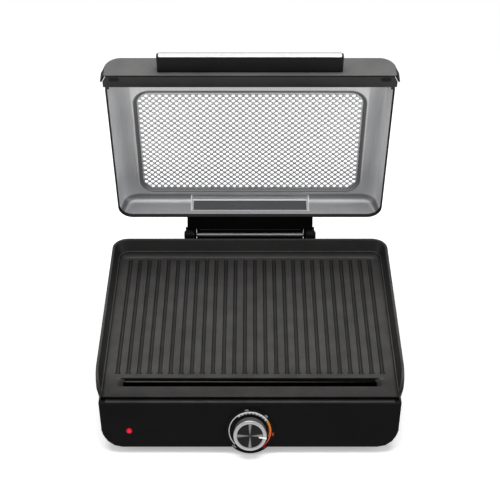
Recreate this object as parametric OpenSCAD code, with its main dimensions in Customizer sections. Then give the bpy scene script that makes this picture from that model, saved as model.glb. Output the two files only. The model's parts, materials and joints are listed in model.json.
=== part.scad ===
// Electric countertop grill: a ridged cooking plate on a slanted-front base, with a hinged lid.
// Millimetres, +Z up, +Y to the back. The origin is on the table, under the middle of the part
// as it stands with its lid open.

/* [Cooking plate] */
// Width of the plate across its rim
plate_w = 407.6; // [385:0.1:425]
// Depth of the plate from its front lip to its rear rim
plate_d = 310; // [295:1:325]
// Height of the plate from its underside to its rim
plate_h = 32; // [29:0.5:38]
// Thickness of the plate's floor, ridges included
floor_t = 6; // [5:0.5:8]
// Width of the rim on top of the walls
rim_t = 3.6; // [2.5:0.1:5]
// Slope of the walls' inner faces, from upright
wall_slope = 16; // [10:1:18]
// Slope of the walls' outer faces, from upright
outer_slope = 9; // [5:1:11]
// Corner radius of the plate at the back
plate_r = 22; // [18:1:32]
// Height of the ledge line above the floor
ledge_h = 8.7; // [6:0.1:12]
// Width of the ledge line
ledge_w = 1.2; // [0.5:0.1:2]
// Distance from one ridge to the next
ridge_pitch = 14.25; // [12:0.25:18]
// Width of a groove between two ridges
groove_w = 5.7; // [4:0.1:7]
// Depth of the grooves
groove_h = 3; // [2:0.1:3.5]
// Length over which the side walls fall to the front lip
wall_fall = 33; // [28:0.5:38]
// Length of the grease slot
slot_l = 354; // [300:1:360]
// Width of the grease slot
slot_w = 15.4; // [12:0.1:18]
// Distance from the front lip to the slot
slot_front = 18.5; // [14:0.5:20]
// Width of the band between the slot and the grooves
slot_band = 10; // [7:0.5:14]

/* [Base] */
// Width of the base at its top
base_w = 399.7; // [380:0.1:415]
// Height of the base's body
base_h = 61.3; // [56:0.1:66]
// Height of the feet
foot_h = 10.7; // [9:0.1:16]
// Diameter of a foot
foot_d = 22; // [16:1:30]
// Lean of the front panel, from upright
panel_lean = 18.6; // [12:0.1:22]
// Taper of the sides towards the bottom
side_taper = 2.2; // [1:0.1:6]
// Radius of the lower corners seen from the front
corner_r = 28; // [18:1:30]
// Rounding of the front edges
front_r = 2; // [1:0.5:10]
// Rounding of the rear corners
rear_r = 22; // [16:1:26]
// How far the base's top edge stands in front of the plate's lip
panel_step = 5.2; // [3:0.1:8]
// How far the base reaches behind the plate's rim
rear_step = 9.7; // [9:0.1:14]
// Wall of the housing
wall_t = 2.5; // [2:0.1:3.5]
// Thickness of the deck under the plate
deck_t = 3; // [2.5:0.1:4]
// Thickness of the front panel
panel_t = 3; // [2.5:0.1:4]
// Thickness of the bottom cover
cover_t = 2.5; // [2:0.1:3]
// Height of the supports that hold the plate off the deck
support_h = 2; // [1.5:0.1:4]
// Depth of the grease tray
tray_h = 20; // [14:0.5:24]
// Thickness of the tray's sheet
tray_t = 1; // [0.8:0.1:1.5]

/* [Heater] */
// Diameter of the heating tube
tube_d = 6.5; // [6:0.1:8]
// Radius of the heating tube's bends
bend_r = 30; // [26:1:31]
// Distance from the heating tube's bends to the sides of the heater opening
tube_margin = 18.75; // [12:0.25:30]
// Gap between the heating tube and the plate
heat_gap = 0.3; // [0.2:0.05:1]
// Depth of the reflector pan
reflector_h = 20; // [17:0.5:24]
// Thickness of the reflector's sheet
reflector_t = 0.8; // [0.6:0.1:1.2]
// Width of the deck beside the heater opening
deck_side = 29.5; // [27:0.5:40]
// Depth of the heater opening in the deck
heater_d = 232; // [225:1:236]

/* [Dial] */
// Distance from the top of the panel down to the dial's centre
dial_drop = 39.7; // [38:0.1:42]
// Radius of the round scale plate
bezel_r = 33; // [30:0.5:34]
// Outer diameter of the knob
knob_d = 44; // [38:0.5:48]
// Diameter of the knob's dark face
knob_face_d = 34.4; // [28:0.2:36]
// Distance from the panel to the knob's face
knob_h = 14.6; // [12:0.1:18]
// Diameter of the dial's shaft
shaft_d = 6; // [5:0.1:7]
// Radial running clearance of shafts and pins
run_gap = 0.05; // [0.02:0.01:0.08]
// Distance of the indicator lens from the base's side
lens_side = 39.7; // [34:0.1:80]
// Diameter of the indicator lens
lens_d = 8; // [5:0.5:10]

/* [Lid] */
// Depth of the lid from its front face to its rear wall
lid_d = 279; // [268:1:290]
// Height of the lid pan
lid_h = 37; // [33:0.5:42]
// Width of the lid pan
pan_w = 396; // [380:1:398]
// Thickness of the pan's sheet
sheet_t = 1; // [0.8:0.1:1.2]
// Rounding between the pan's top and its walls
pan_fillet = 18; // [12:1:20]
// Gap between the plate's rim and the closed lid
lid_gap = 0.6; // [0.4:0.1:1.5]
// How far the lid reaches behind the plate
lid_over = 4.1; // [3:0.1:7]
// Angle between the closed and the open lid
open_angle = 79.5; // [70:0.5:85]
// How far the fascia's face stands out beside the pan on each side
fascia_over = 0.5; // [0:0.1:2]
// Widening of the fascia on each side, from its face to its rear edge
fascia_flare = 5.2; // [2:0.1:6]
// Depth of the fascia's side returns
fascia_d = 11.6; // [9:0.2:14]
// Wall of the fascia
fascia_t = 2; // [1.5:0.1:2.5]
// Corner radius of the fascia seen from the front
fascia_r = 22; // [18:1:24]
// How far the fascia's top stands above the pan
fascia_rise = 0.2; // [-0.5:0.1:2]
// Rounding between the pan's top and its front wall
pan_front_r = 14; // [12:1:18]
// Depth of the flange along the lid's front rim
flange_d = 21; // [18:0.5:26]
// How far the flange reaches past the pan on each side
flange_over = 2.4; // [0:0.1:4]
// Length of the perforated window
window_l = 316; // [280:1:320]
// Depth of the perforated window
window_d = 188; // [170:1:196]
// Distance from the lid's rear wall to the window
window_rear = 25.4; // [18:0.1:32]
// Distance between the window's holes
hole_pitch = 28.4; // [24:0.2:36]
// Diameter of the window's holes
hole_d = 13.5; // [8:0.5:15]

/* [Handle] */
// Length of the handle
handle_l = 252; // [200:1:280]
// How far the handle stands out from the fascia
handle_d = 26; // [18:0.5:32]
// Thickness of the handle
handle_t = 10.4; // [8:0.2:14]
// Height of the handle's underside above the lid's rim
handle_up = 6; // [5:0.5:12]
// Thickness of the bright strip
strip_t = 1.2; // [0.8:0.1:2]
// Distance between the strip's end and the handle's end
strip_side = 2.6; // [1.2:0.1:6]

/* [Hinge] */
// Distance of the hinge behind the lid's rear wall
hinge_back = 23.6; // [21:0.1:26]
// Distance of the hinge below the plate's rim
hinge_drop = 14; // [13:0.1:16]
// Diameter of the hinge rod
rod_d = 6; // [5:0.1:7]
// Radius of the base's hinge ears
ear_r = 8; // [7.5:0.1:8.5]
// Overall width of the hinge bracket
hinge_w = 196; // [180:1:210]
// Width of each hinge ear
ear_w = 12; // [9:0.5:14]
// Thickness of the lid bracket's sheet
bracket_t = 3.5; // [3:0.1:4]

/* [Hidden] */
$fn = 48;
tiny = 0.01;
over = 1;            // how far a cut runs past a face
shift_y = 17.9;      // the plate's centre lies this far in front of the part's centre
hull_fn = 32;        // facets of the rounded forms

// Heights
deck_z = foot_h + base_h;
plate_z = deck_z + support_h;
floor_z = plate_z + floor_t;
rim_z = plate_z + plate_h;
// Depths
lip_y = -plate_d / 2 - shift_y;
plate_rear_y = lip_y + plate_d;
plate_mid_y = (lip_y + plate_rear_y) / 2;
slot_y = lip_y + slot_front + slot_w / 2;
groove_end_y = slot_y + slot_w / 2 + slot_band;
panel_y = lip_y - panel_step;
base_rear_y = plate_rear_y + rear_step;
heater_w = base_w - 2 * deck_side;
heater_y = base_rear_y - 20 - heater_d / 2;
run_l = heater_w / 2 - tube_margin - tube_d / 2 - bend_r;
// Places that follow the widths
lens_x = base_w / 2 - lens_side;
fascia_w = pan_w + 2 * fascia_over;
// Lid, closed
lid_z = rim_z + lid_gap;
lid_top = lid_z + lid_h;
lid_rear_y = plate_rear_y + lid_over;
lid_front_y = lid_rear_y - lid_d;
hinge_y = lid_rear_y + hinge_back;
hinge_z = rim_z - hinge_drop;
window_y = lid_rear_y - window_rear - window_d / 2;
// Steel, plastic and enamel colours
black = [0.10, 0.10, 0.10];
charcoal = [0.22, 0.22, 0.21];
steel = [0.72, 0.72, 0.74];
brass = [0.80, 0.66, 0.32];
ceramic = [0.93, 0.91, 0.86];

// ---------------------------------------------------------------- helpers

// Half width of the base at a height below its deck
function base_half(z) = base_w / 2 - (deck_z - z) * tan(side_taper);
// Y of the panel's plane at a height
function panel_at(z) = panel_y - (deck_z - z) * tan(panel_lean);

// A flat rectangle with round corners
module rounded(w, d, r) {
  square([w - 2 * r, d], center = true);
  square([w, d - 2 * r], center = true);
  for (x = [-1, 1], y = [-1, 1])
    translate([x * (w / 2 - r), y * (d / 2 - r)])
      circle(r);
}

// A plate with round corners, standing on the z = 0 plane
module rounded_plate(w, d, h, r) {
  linear_extrude(h)
    rounded(w, d, r);
}

// A pan-head screw: its head stands on z = 0 and its shank points down
module screw(shank_d, shank_l) {
  cylinder(d = 2 * shank_d, h = 0.6 * shank_d);
  translate([0, 0, -shank_l])
    cylinder(d = shank_d, h = shank_l);
}

// Places its children on the slanted panel: x along it, y up it, z out of it, from its top edge
module on_panel() {
  translate([0, panel_y, deck_z])
    rotate([90 - panel_lean, 0, 0])
      children();
}

// Places its children on the dial's axis, with z out of the panel
module on_dial() {
  on_panel()
    translate([0, -dial_drop, 0])
      children();
}

// Turns the closed lid about its hinge to the open position
module opened() {
  translate([0, hinge_y, hinge_z])
    rotate([-open_angle, 0, 0])
      translate([0, -hinge_y, -hinge_z])
        children();
}

// Copies its children at both sides
module both_sides() {
  for (s = [-1, 1])
    scale([s, 1, 1])
      children();
}

// A round bar from one point to another
module bar(from, to, d) {
  v = to - from;
  l = norm(v);
  translate(from)
    rotate([0, acos(v.z / l), atan2(v.y, v.x)])
      cylinder(d = d, h = l, $fn = 16);
}

// A wire through a list of points, with a round bead at each bend
module wire(points, d) {
  for (i = [1 : len(points) - 1])
    bar(points[i - 1], points[i], d);
  for (i = [1 : len(points) - 2])
    translate(points[i])
      sphere(d = d + 0.6, $fn = 16);
}

// ---------------------------------------------------------------- base

// The base's outer form, or its inner form when inset by the wall
module base_form(inset = 0) {
  fr = max(front_r, inset + 0.5);   // keeps the inner form's edges round
  rr = rear_r - inset;
  arc = corner_r - fr;
  module front_ball(x, z) {
    translate([x, panel_at(z) + fr / cos(panel_lean), z])
      sphere(fr - inset, $fn = hull_fn);
  }
  module rear_ball(z) {
    translate([base_half(z) - rear_r, base_rear_y - rear_r, z])
      sphere(rr, $fn = hull_fn);
  }
  intersection() {
    hull() {
      both_sides() {
        front_ball(base_half(deck_z) - fr, deck_z);
        for (a = [0 : 22.5 : 90])
          front_ball(base_half(foot_h) - corner_r + arc * cos(a), foot_h + corner_r - arc * sin(a));
        rear_ball(deck_z);
        rear_ball(foot_h + rear_r);
      }
    }
    translate([-base_w, panel_y - base_h, 0])
      cube([2 * base_w, 2 * plate_d, deck_z - (inset > 0 ? deck_t : 0)]);
  }
}

// The slab of the base that is the front panel
module panel_slab(t) {
  on_panel()
    translate([-base_w, -2 * base_h, -t])
      cube([2 * base_w, 4 * base_h, t + base_h]);
}

cover_w = 2 * base_half(foot_h) - 2 * corner_r - 8;
cover_front_y = panel_at(foot_h) + 32;
cover_d = base_rear_y - rear_r - 4 - cover_front_y;
cover_y = cover_front_y + cover_d / 2;
tray_w = slot_l + 10;
tray_d = slot_w + 10;
lip_w = 4;            // the tray's and the reflector's hanging rims
bezel_t = 5;
gland_x = 130;
gland_z = deck_z - 24;
boss_x = cover_w / 2 - 10;
boss_d = 10;
screw_d = 2.9;
boss_ys = [cover_front_y + 14, cover_y, cover_front_y + cover_d - 14];
boss_top = deck_z - max(reflector_h, tray_h) - 5;

module base_housing() {
  color(black)
    difference() {
      union() {
        difference() {
          base_form();
          base_form(wall_t);
        }
        // screw bosses, each on a rib from the side wall
        intersection() {
          base_form();
          for (y = boss_ys)
            both_sides() {
              translate([boss_x, y, foot_h + cover_t])
                cylinder(d = boss_d, h = boss_top - foot_h - cover_t);
              translate([boss_x, y - 1.5, foot_h + cover_t])
                cube([base_w / 2 - boss_x, 3, boss_top - foot_h - cover_t]);
            }
        }
      }
      panel_slab(panel_t);
      // heater and grease tray openings in the deck
      translate([0, heater_y, deck_z - deck_t - over])
        rounded_plate(heater_w, heater_d, deck_t + 2 * over, 12);
      translate([0, slot_y, deck_z - deck_t - over])
        rounded_plate(tray_w + 2, tray_d + 2, deck_t + 2 * over, 6);
      // opening for the bottom cover
      translate([0, cover_y, foot_h - over])
        rounded_plate(cover_w, cover_d, cover_t + over, 10);
      for (y = boss_ys)
        both_sides()
          translate([boss_x, y, foot_h])
            cylinder(d = screw_d + 0.04, h = 16);
      // clearance round the scale plate
      on_dial()
        translate([0, 0, -bezel_t - 0.4])
          cylinder(r = bezel_r + 0.6, h = bezel_t + over);
      // hole for the cord gland
      translate([gland_x, base_rear_y - 2 * wall_t, gland_z])
        rotate([-90, 0, 0])
          cylinder(d = 13, h = 4 * wall_t);
    }
}

module front_panel() {
  color(black)
    difference() {
      intersection() {
        base_form();
        panel_slab(panel_t);
      }
      on_dial()
        translate([0, 0, -panel_t - over])
          cylinder(r = bezel_r + 0.2, h = panel_t + 2 * over);
      on_dial()
        translate([-lens_x, 0, -panel_t - over])
          cylinder(d = lens_d, h = panel_t + 2 * over);
    }
}

module base_bottom() {
  color(black)
    difference() {
      translate([0, cover_y, foot_h])
        rounded_plate(cover_w - 0.6, cover_d - 0.6, cover_t, 9.7);
      for (y = boss_ys)
        both_sides()
          translate([boss_x, y, foot_h - over])
            cylinder(d = 3.4, h = cover_t + 2 * over);
      for (x = [-5 : 5])
        translate([x * 14 - 3, cover_y - 30, foot_h - over])
          cube([6, 60, cover_t + 2 * over]);
    }
}

foot_seat = 4;          // thickness of a foot above its screw's head

module base_feet() {
  color(black)
    for (y = [boss_ys[0], boss_ys[2]])
      both_sides()
        translate([boss_x, y, 0])
          difference() {
            cylinder(d = foot_d, h = foot_h);
            translate([0, 0, -over])
              cylinder(d = 8, h = foot_h - foot_seat + over);
            cylinder(d = screw_d + 0.5, h = foot_h + over);
          }
}

module base_screws() {
  color(steel)
    for (y = boss_ys)
      both_sides()
        translate([boss_x, y, (y == boss_ys[1] ? foot_h : foot_h - foot_seat) - 0.3])
          rotate([180, 0, 0])
            screw(screw_d, y == boss_ys[1] ? 14 : 14 + foot_seat);
}

panel_screw_x = base_half(deck_z) - 26;
panel_screw_drop = 17;

module panel_screws() {
  color(steel)
    both_sides()
      on_panel()
        translate([panel_screw_x, -panel_screw_drop, -panel_t - 7])
          cylinder(d = 6, h = 7);
}

module dial_bezel() {
  color(black)
    on_dial()
      difference() {
        union() {
          translate([0, 0, -bezel_t])
            cylinder(r = bezel_r, h = bezel_t + 0.3);
          intersection() {
            translate([0, 0, -bezel_t])
              cylinder(r = bezel_r + 3, h = bezel_t - panel_t);
            translate([-bezel_r - 4, -bezel_r / 3, -bezel_t])
              cube([2 * bezel_r + 8, 2 * bezel_r, bezel_t]);
          }
        }
        translate([0, 0, -bezel_t - over])
          cylinder(r = shaft_d / 2 + run_gap, h = bezel_t + 2 * over + 0.3);
      }
}

module indicator_lens() {
  color("red")
    on_dial()
      translate([-lens_x, 0, -panel_t - 2]) {
        cylinder(d = lens_d - 0.2, h = panel_t + 2.2);
        cylinder(d = lens_d + 3, h = 2);
      }
}

module indicator_lamp() {
  color("orange")
    on_dial()
      translate([-lens_x, 0, -panel_t - 2]) {
        translate([0, 0, -10])
          cylinder(d = lens_d, h = 10);
        translate([0, 0, -14])
          cube([lens_d + 8, lens_d + 4, 4], center = true);
        translate([0, 0, -12])
          cylinder(d = lens_d - 2, h = 3);
      }
}

bracket_z = -bezel_t - 2;      // back face of the thermostat's bracket, on the dial's axis
thermo_w = 22;
thermo_t = 17;

module thermostat_bracket() {
  color(steel)
    on_dial()
      difference() {
        translate([0, 0, bracket_z])
          rounded_plate(56, 22, 2, 4);
        translate([0, 0, bracket_z - over])
          cylinder(d = 10.2, h = 2 + 2 * over);
        for (x = [-1, 1])
          translate([x * 22, 0, bracket_z - over])
            cylinder(d = 3.2, h = 2 + 2 * over);
      }
}

module thermostat() {
  color(ceramic)
    on_dial()
      difference() {
        union() {
          translate([0, 0, bracket_z - thermo_t / 2])
            cube([thermo_w, thermo_w, thermo_t], center = true);
          translate([0, 0, bracket_z - tiny])
            cylinder(d = 10, h = 2);
        }
        translate([0, 0, bracket_z - 9])
          cylinder(r = shaft_d / 2 + run_gap, h = 12);
      }
}

module thermostat_nut() {
  color(steel)
    on_dial()
      for (x = [-1, 1])
        translate([x * 22, 0, bracket_z])
          rotate([180, 0, 0]) {
            cylinder(d = 5.6, h = 2);
            translate([0, 0, -2])
              cylinder(d = 3, h = 2);
          }
}

module thermostat_tabs() {
  color(brass)
    on_dial()
      for (x = [-7, 7])
        translate([x - 3, -1, bracket_z - thermo_t - 5])
          cube([6, 1, 5]);
}

// ---------------------------------------------------------------- heater

reflector_top = deck_z + reflector_t;
reflector_bottom = deck_z - reflector_h;
reflector_floor = reflector_bottom + reflector_t;
tube_z = plate_z - heat_gap - tube_d / 2;
leg_z = reflector_bottom - 12;
leg_bend = 12;
run_ys = [for (i = [0 : 3]) heater_y + (1.5 - i) * 2 * bend_r];
screw_ys = [heater_y - heater_d / 2 + 30, heater_y + heater_d / 2 - 30];

module heat_reflector() {
  color(steel)
    difference() {
      union() {
        translate([0, heater_y, deck_z])
          rounded_plate(heater_w + 2 * lip_w, heater_d + 2 * lip_w, reflector_t, 16);
        translate([0, heater_y, reflector_bottom])
          rounded_plate(heater_w - 1, heater_d - 1, reflector_h + tiny, 11.5);
      }
      translate([0, heater_y, reflector_floor])
        rounded_plate(heater_w - 1 - 2 * reflector_t, heater_d - 1 - 2 * reflector_t,
          reflector_h + over, 10.7);
      for (y = [run_ys[0], run_ys[3]])
        translate([run_l + leg_bend, y, reflector_bottom - over])
          cylinder(d = 9, h = 4);
      translate([0, heater_y, reflector_bottom - over])
        cylinder(d = 9, h = 4);
    }
}

module reflector_screws() {
  color(steel)
    for (y = screw_ys)
      both_sides()
        translate([heater_w / 2 + 2, y, reflector_top])
          cylinder(d = 3.6, h = 0.8);
}

module heating_element() {
  r = tube_d / 2;
  color([0.35, 0.33, 0.32])
    union() {
      for (i = [0 : 3])
        translate([-run_l, run_ys[i], tube_z])
          rotate([0, 90, 0])
            cylinder(r = r, h = 2 * run_l);
      for (i = [0 : 2])
        translate([(i % 2 == 0 ? -1 : 1) * run_l, run_ys[i] - bend_r, tube_z])
          rotate([0, 0, i % 2 == 0 ? 90 : -90])
            rotate_extrude(angle = 180)
              translate([bend_r, 0])
                circle(r);
      for (y = [run_ys[0], run_ys[3]])
        translate([run_l, y, tube_z - leg_bend]) {
          rotate([90, 0, 0])
            rotate_extrude(angle = 90)
              translate([leg_bend, 0])
                circle(r);
          translate([leg_bend, 0, leg_z - tube_z + leg_bend])
            cylinder(r = r, h = tube_z - leg_bend - leg_z);
        }
    }
}

module element_clips() {
  color(steel)
    for (i = [0 : 3], x = [-1, 1])
      translate([x * run_l * 0.6, run_ys[i], 0])
        difference() {
          translate([-1, -7, reflector_floor])
            cube([2, 14, tube_z - reflector_floor]);
          translate([-2, 0, tube_z])
            rotate([0, 90, 0])
              cylinder(d = tube_d + 0.04, h = 4);
        }
}

module element_bushes() {
  color(ceramic)
    for (y = [run_ys[0], run_ys[3]])
      translate([run_l + leg_bend, y, leg_z + 2])
        difference() {
          cylinder(d = 12, h = reflector_bottom - leg_z - 2);
          translate([0, 0, -over])
            cylinder(d = tube_d + 0.04, h = 20);
        }
}

module terminal_pins() {
  color(brass)
    for (y = [run_ys[0], run_ys[3]])
      translate([run_l + leg_bend, y, leg_z - 8])
        cylinder(d = 3, h = 8);
}

probe_top = plate_z - 0.3;

module temperature_probe() {
  color(steel)
    translate([0, heater_y, 0]) {
      translate([0, 0, reflector_floor + 14])
        cylinder(d = 9, h = probe_top - reflector_floor - 14);
      translate([0, 0, reflector_bottom - 6])
        cylinder(d = 5, h = 14 + reflector_t + 6 + tiny);
    }
}

// The probe's spring: a helical wire swept along its own rings
module probe_spring() {
  wire_r = 0.5;
  coil_r = 3.6;
  turns = 4;
  steps = 16;
  sides = 8;
  z0 = reflector_floor + wire_r;
  rise = 14 - 2 * wire_r - 0.1;
  count = turns * steps;
  points = [for (i = [0 : count], j = [0 : sides - 1])
    let (a = 360 * i / steps, b = 360 * j / sides, r = coil_r + wire_r * cos(b))
    [r * cos(a), r * sin(a), z0 + rise * i / count + wire_r * sin(b)]];
  rings = [for (i = [0 : count - 1], j = [0 : sides - 1])
    let (k = (j + 1) % sides)
    [i * sides + j, (i + 1) * sides + j, (i + 1) * sides + k, i * sides + k]];
  color(steel)
    translate([0, heater_y, 0])
      polyhedron(points, concat(rings,
        [[for (j = [0 : sides - 1]) j], [for (j = [sides - 1 : -1 : 0]) count * sides + j]]));
}

fuse_x = 60;

module thermal_fuse() {
  color(brass)
    translate([fuse_x, heater_y - 30, reflector_bottom - 4])
      rotate([0, 90, 0]) {
        cylinder(d = 5, h = 20);
        translate([-4, -4, 6])
          cube([4, 8, 6]);
      }
}

block_x = 60;
block_y = base_rear_y - 55;
block_z = reflector_bottom - 14;

module terminal_block() {
  color(ceramic)
    translate([block_x, block_y, block_z])
      difference() {
        translate([0, 0, 7])
          cube([42, 16, 14], center = true);
        for (x = [-14, 0, 14])
          translate([x, 0, 6])
            cylinder(d = 5, h = 6);
      }
}

module internal_wires() {
  pin_z = leg_z - 8;
  low_z = foot_h + cover_t + 6;
  wire_d = 2.4;
  color("firebrick") {
    wire([[run_l + leg_bend, run_ys[0], pin_z], [run_l + leg_bend, run_ys[0], low_z],
      [block_x + 14, block_y + 20, low_z], [block_x + 14, block_y + 14, block_z + 6],
      [block_x + 14, block_y + 8, block_z + 6]], wire_d);
    wire([[run_l + leg_bend, run_ys[3], pin_z], [run_l + leg_bend, run_ys[3], low_z],
      [block_x - 14, block_y - 20, low_z], [block_x - 14, block_y - 14, block_z + 6],
      [block_x - 14, block_y - 8, block_z + 6]], wire_d);
    wire([[block_x, block_y - 8, block_z + 6], [block_x, block_y - 14, block_z + 6],
      [block_x, block_y - 30, low_z], [0, heater_y - 60, low_z],
      [0, cover_front_y + 12, low_z + 4]], wire_d);
  }
}

module cord_gland() {
  color(black)
    translate([gland_x, base_rear_y, gland_z])
      rotate([-90, 0, 0])
        difference() {
          union() {
            cylinder(d = 19, h = 3);
            translate([0, 0, -wall_t - 6])
              cylinder(d = 12.6, h = wall_t + 6 + tiny);
            translate([0, 0, -wall_t - 5])
              cylinder(d = 17, h = 4.8);
            cylinder(d = 13, h = 8);
          }
          translate([0, 0, -wall_t - 8])
            cylinder(d = 7.4, h = 20);
        }
}

// ---------------------------------------------------------------- hinge

inner_half = hinge_w / 2 - ear_w;
seat_y = base_rear_y;
seat_z = 24;           // depth of the bracket's seat on the rear wall
stop_half = inner_half - 8;
stop_up = 3.6;         // top of the stop rib above the hinge
rail_z = hinge_z - rod_d / 2 - 9;

hinge_screw_x = hinge_w / 2 - 28;
hinge_screw_z = rail_z - seat_z / 2 - 3;
seat_t = 4;

module hinge_bracket() {
  color(black)
    difference() {
      union() {
        // seat on the rear wall and rail under the rod
        translate([-hinge_w / 2, seat_y, rail_z - seat_z])
          cube([hinge_w, seat_t, seat_z]);
        translate([-hinge_w / 2, seat_y, rail_z - 5])
          cube([hinge_w, hinge_y - seat_y + ear_r, 5]);
        // stop rib behind the rod
        translate([-stop_half, hinge_y + ear_r - 1, rail_z - 5])
          cube([2 * stop_half, 3, hinge_z - rail_z + 5 + stop_up]);
        both_sides()
          translate([inner_half, 0, 0]) {
            translate([0, hinge_y, hinge_z])
              rotate([0, 90, 0])
                cylinder(r = ear_r, h = ear_w);
            translate([0, seat_y, rail_z - 5])
              cube([ear_w, hinge_y - seat_y + ear_r, 5 + tiny]);
            rotate([90, 0, 90])
              linear_extrude(ear_w)
                polygon([[seat_y, rail_z], [hinge_y + ear_r, rail_z], [hinge_y + ear_r, hinge_z],
                  [hinge_y - ear_r, hinge_z]]);
          }
      }
      translate([-hinge_w / 2 - over, hinge_y, hinge_z])
        rotate([0, 90, 0])
          cylinder(d = rod_d + 0.04, h = hinge_w + 2 * over);
      for (x = [-hinge_screw_x, hinge_screw_x])
        translate([x, seat_y - over, hinge_screw_z])
          rotate([-90, 0, 0])
            cylinder(d = 4.2, h = seat_t + 2 * over);
    }
}

module hinge_bracket_screws() {
  color(steel)
    for (x = [-hinge_screw_x, hinge_screw_x])
      translate([x, seat_y + seat_t, hinge_screw_z])
        rotate([-90, 0, 0]) {
          cylinder(d = 7.6, h = 2.4);
          translate([0, 0, -seat_t])
            cylinder(d = 4, h = seat_t + tiny);
        }
}

module hinge_rod() {
  color(steel)
    translate([-hinge_w / 2, hinge_y, hinge_z])
      rotate([0, 90, 0])
        cylinder(d = rod_d, h = hinge_w);
}

module rod_caps() {
  color(steel)
    both_sides()
      translate([hinge_w / 2, hinge_y, hinge_z])
        rotate([0, 90, 0])
          cylinder(d = rod_d + 5, h = 1.6);
}

module grease_tray() {
  color(steel)
    translate([0, slot_y, 0])
      difference() {
        union() {
          translate([0, 0, deck_z])
            rounded_plate(tray_w + 2 * lip_w, tray_d + 2 * lip_w, tray_t, 8);
          translate([0, 0, deck_z - tray_h])
            rounded_plate(tray_w, tray_d, tray_h + tiny, 5);
        }
        translate([0, 0, deck_z - tray_h + tray_t])
          rounded_plate(tray_w - 2 * tray_t, tray_d - 2 * tray_t, tray_h + over, 4);
      }
}

support_w = 10;
support_x = base_w / 2 - (deck_side - lip_w) / 2 - 0.25;

module plate_supports() {
  color(steel)
    for (y = [plate_mid_y - plate_d / 4, plate_mid_y + plate_d / 4])
      both_sides()
        translate([support_x, y, deck_z])
          rounded_plate(support_w, 26, support_h, 2);
}

// ---------------------------------------------------------------- grill plate

// A form between two outlines of the plate, each by half width, front, rear and corner radius
module plate_form(z0, half0, rear0, r0, z1, half1, rear1, r1, front, front_corner) {
  hull()
    for (e = [[z0, half0, rear0, r0], [z1, half1, rear1, r1]])
      both_sides()
        translate([0, 0, e[0]]) {
          translate([e[1] - e[3], e[2] - e[3], 0])
            cylinder(r = e[3], h = tiny, $fn = hull_fn);
          translate([e[1] - front_corner, front + front_corner, 0])
            cylinder(r = front_corner, h = tiny, $fn = hull_fn);
        }
}

half_w = plate_w / 2;
outer_in = plate_h * tan(outer_slope);
ledge_z = floor_z + ledge_h;
upper_in = rim_t + (rim_z - ledge_z) * tan(wall_slope);
lower_in = upper_in + ledge_w + ledge_h * tan(wall_slope) / 2;
inner_half_floor = half_w - lower_in;
ridge_limit = inner_half_floor - 5;
groove_count = floor(ridge_limit / ridge_pitch - 0.5);
groove_rear_y = plate_rear_y - lower_in - 1;
wall_full_y = lip_y + wall_fall;

module grill_plate() {
  color(charcoal)
    difference() {
      plate_form(plate_z, half_w - outer_in, plate_rear_y - outer_in, plate_r - outer_in,
        rim_z - tiny, half_w, plate_rear_y, plate_r, lip_y, 4);
      // upper and lower parts of the cooking area
      plate_form(ledge_z, half_w - upper_in, plate_rear_y - upper_in, plate_r - rim_t - 3,
        rim_z + tiny, half_w - rim_t, plate_rear_y - rim_t, plate_r - rim_t, lip_y - 20, 4);
      plate_form(floor_z, half_w - lower_in, plate_rear_y - lower_in, plate_r - rim_t - 5,
        ledge_z + tiny, half_w - upper_in - ledge_w, plate_rear_y - upper_in - ledge_w,
        plate_r - rim_t - 4, lip_y - 20, 4);
      // fall of the side walls to the lip
      translate([-half_w - over, 0, 0])
        rotate([90, 0, 90])
          linear_extrude(plate_w + 2 * over)
            polygon(concat(
              [for (a = [0 : 7.5 : 90])
                [wall_full_y - wall_fall * cos(a) - tiny, floor_z + (rim_z - floor_z) * sin(a)]],
              [[wall_full_y, rim_z + over], [lip_y - over, rim_z + over], [lip_y - over, floor_z]]));
      // grooves
      for (i = [-groove_count - 1 : groove_count])
        translate([(i + 0.5) * ridge_pitch, 0, floor_z - groove_h]) {
          translate([-groove_w / 2, groove_end_y + groove_w / 2, 0])
            cube([groove_w, groove_rear_y - groove_end_y - groove_w / 2, groove_h + over]);
          translate([0, groove_end_y + groove_w / 2, 0])
            cylinder(d = groove_w, h = groove_h + over);
        }
      // grease slot
      translate([0, slot_y, plate_z - over])
        rounded_plate(slot_l, slot_w, floor_t + 2 * over, 5);
    }
}

// ---------------------------------------------------------------- lid

pocket_half = 88;
pocket_d = 11;
pocket_up = 13;
pan_corner = 20;
pan_front_y = lid_front_y + fascia_t + 2.4;
pan_draft = 1.5;

// The pan's outer form, or its inner form when inset by the sheet
module pan_form(inset = 0) {
  bottom = lid_z - (inset > 0 ? over : 0);
  hull()
    both_sides() {
      translate([pan_w / 2 - pan_corner, lid_rear_y - pan_corner, bottom])
        cylinder(r = pan_corner - inset, h = 2, $fn = hull_fn);
      translate([pan_w / 2 - pan_front_r, pan_front_y + pan_front_r, bottom])
        cylinder(r = pan_front_r - inset, h = 2, $fn = hull_fn);
      translate([pan_w / 2 - pan_draft - pan_fillet, lid_rear_y - pan_draft - pan_fillet,
        lid_top - pan_fillet])
        sphere(pan_fillet - inset, $fn = hull_fn);
      translate([pan_w / 2 - pan_draft - pan_front_r, pan_front_y + pan_front_r + pan_draft,
        lid_top - pan_front_r])
        sphere(pan_front_r - inset, $fn = hull_fn);
    }
}

// The square-shouldered pocket in the pan's rear edge that the hinge bracket is screwed to
module pocket(inset = 0) {
  translate([-pocket_half + inset, lid_rear_y - pocket_d, lid_z + pocket_up + inset])
    cube([2 * (pocket_half - inset), pocket_d - inset, lid_h - pocket_up - 2 * inset]);
}

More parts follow.
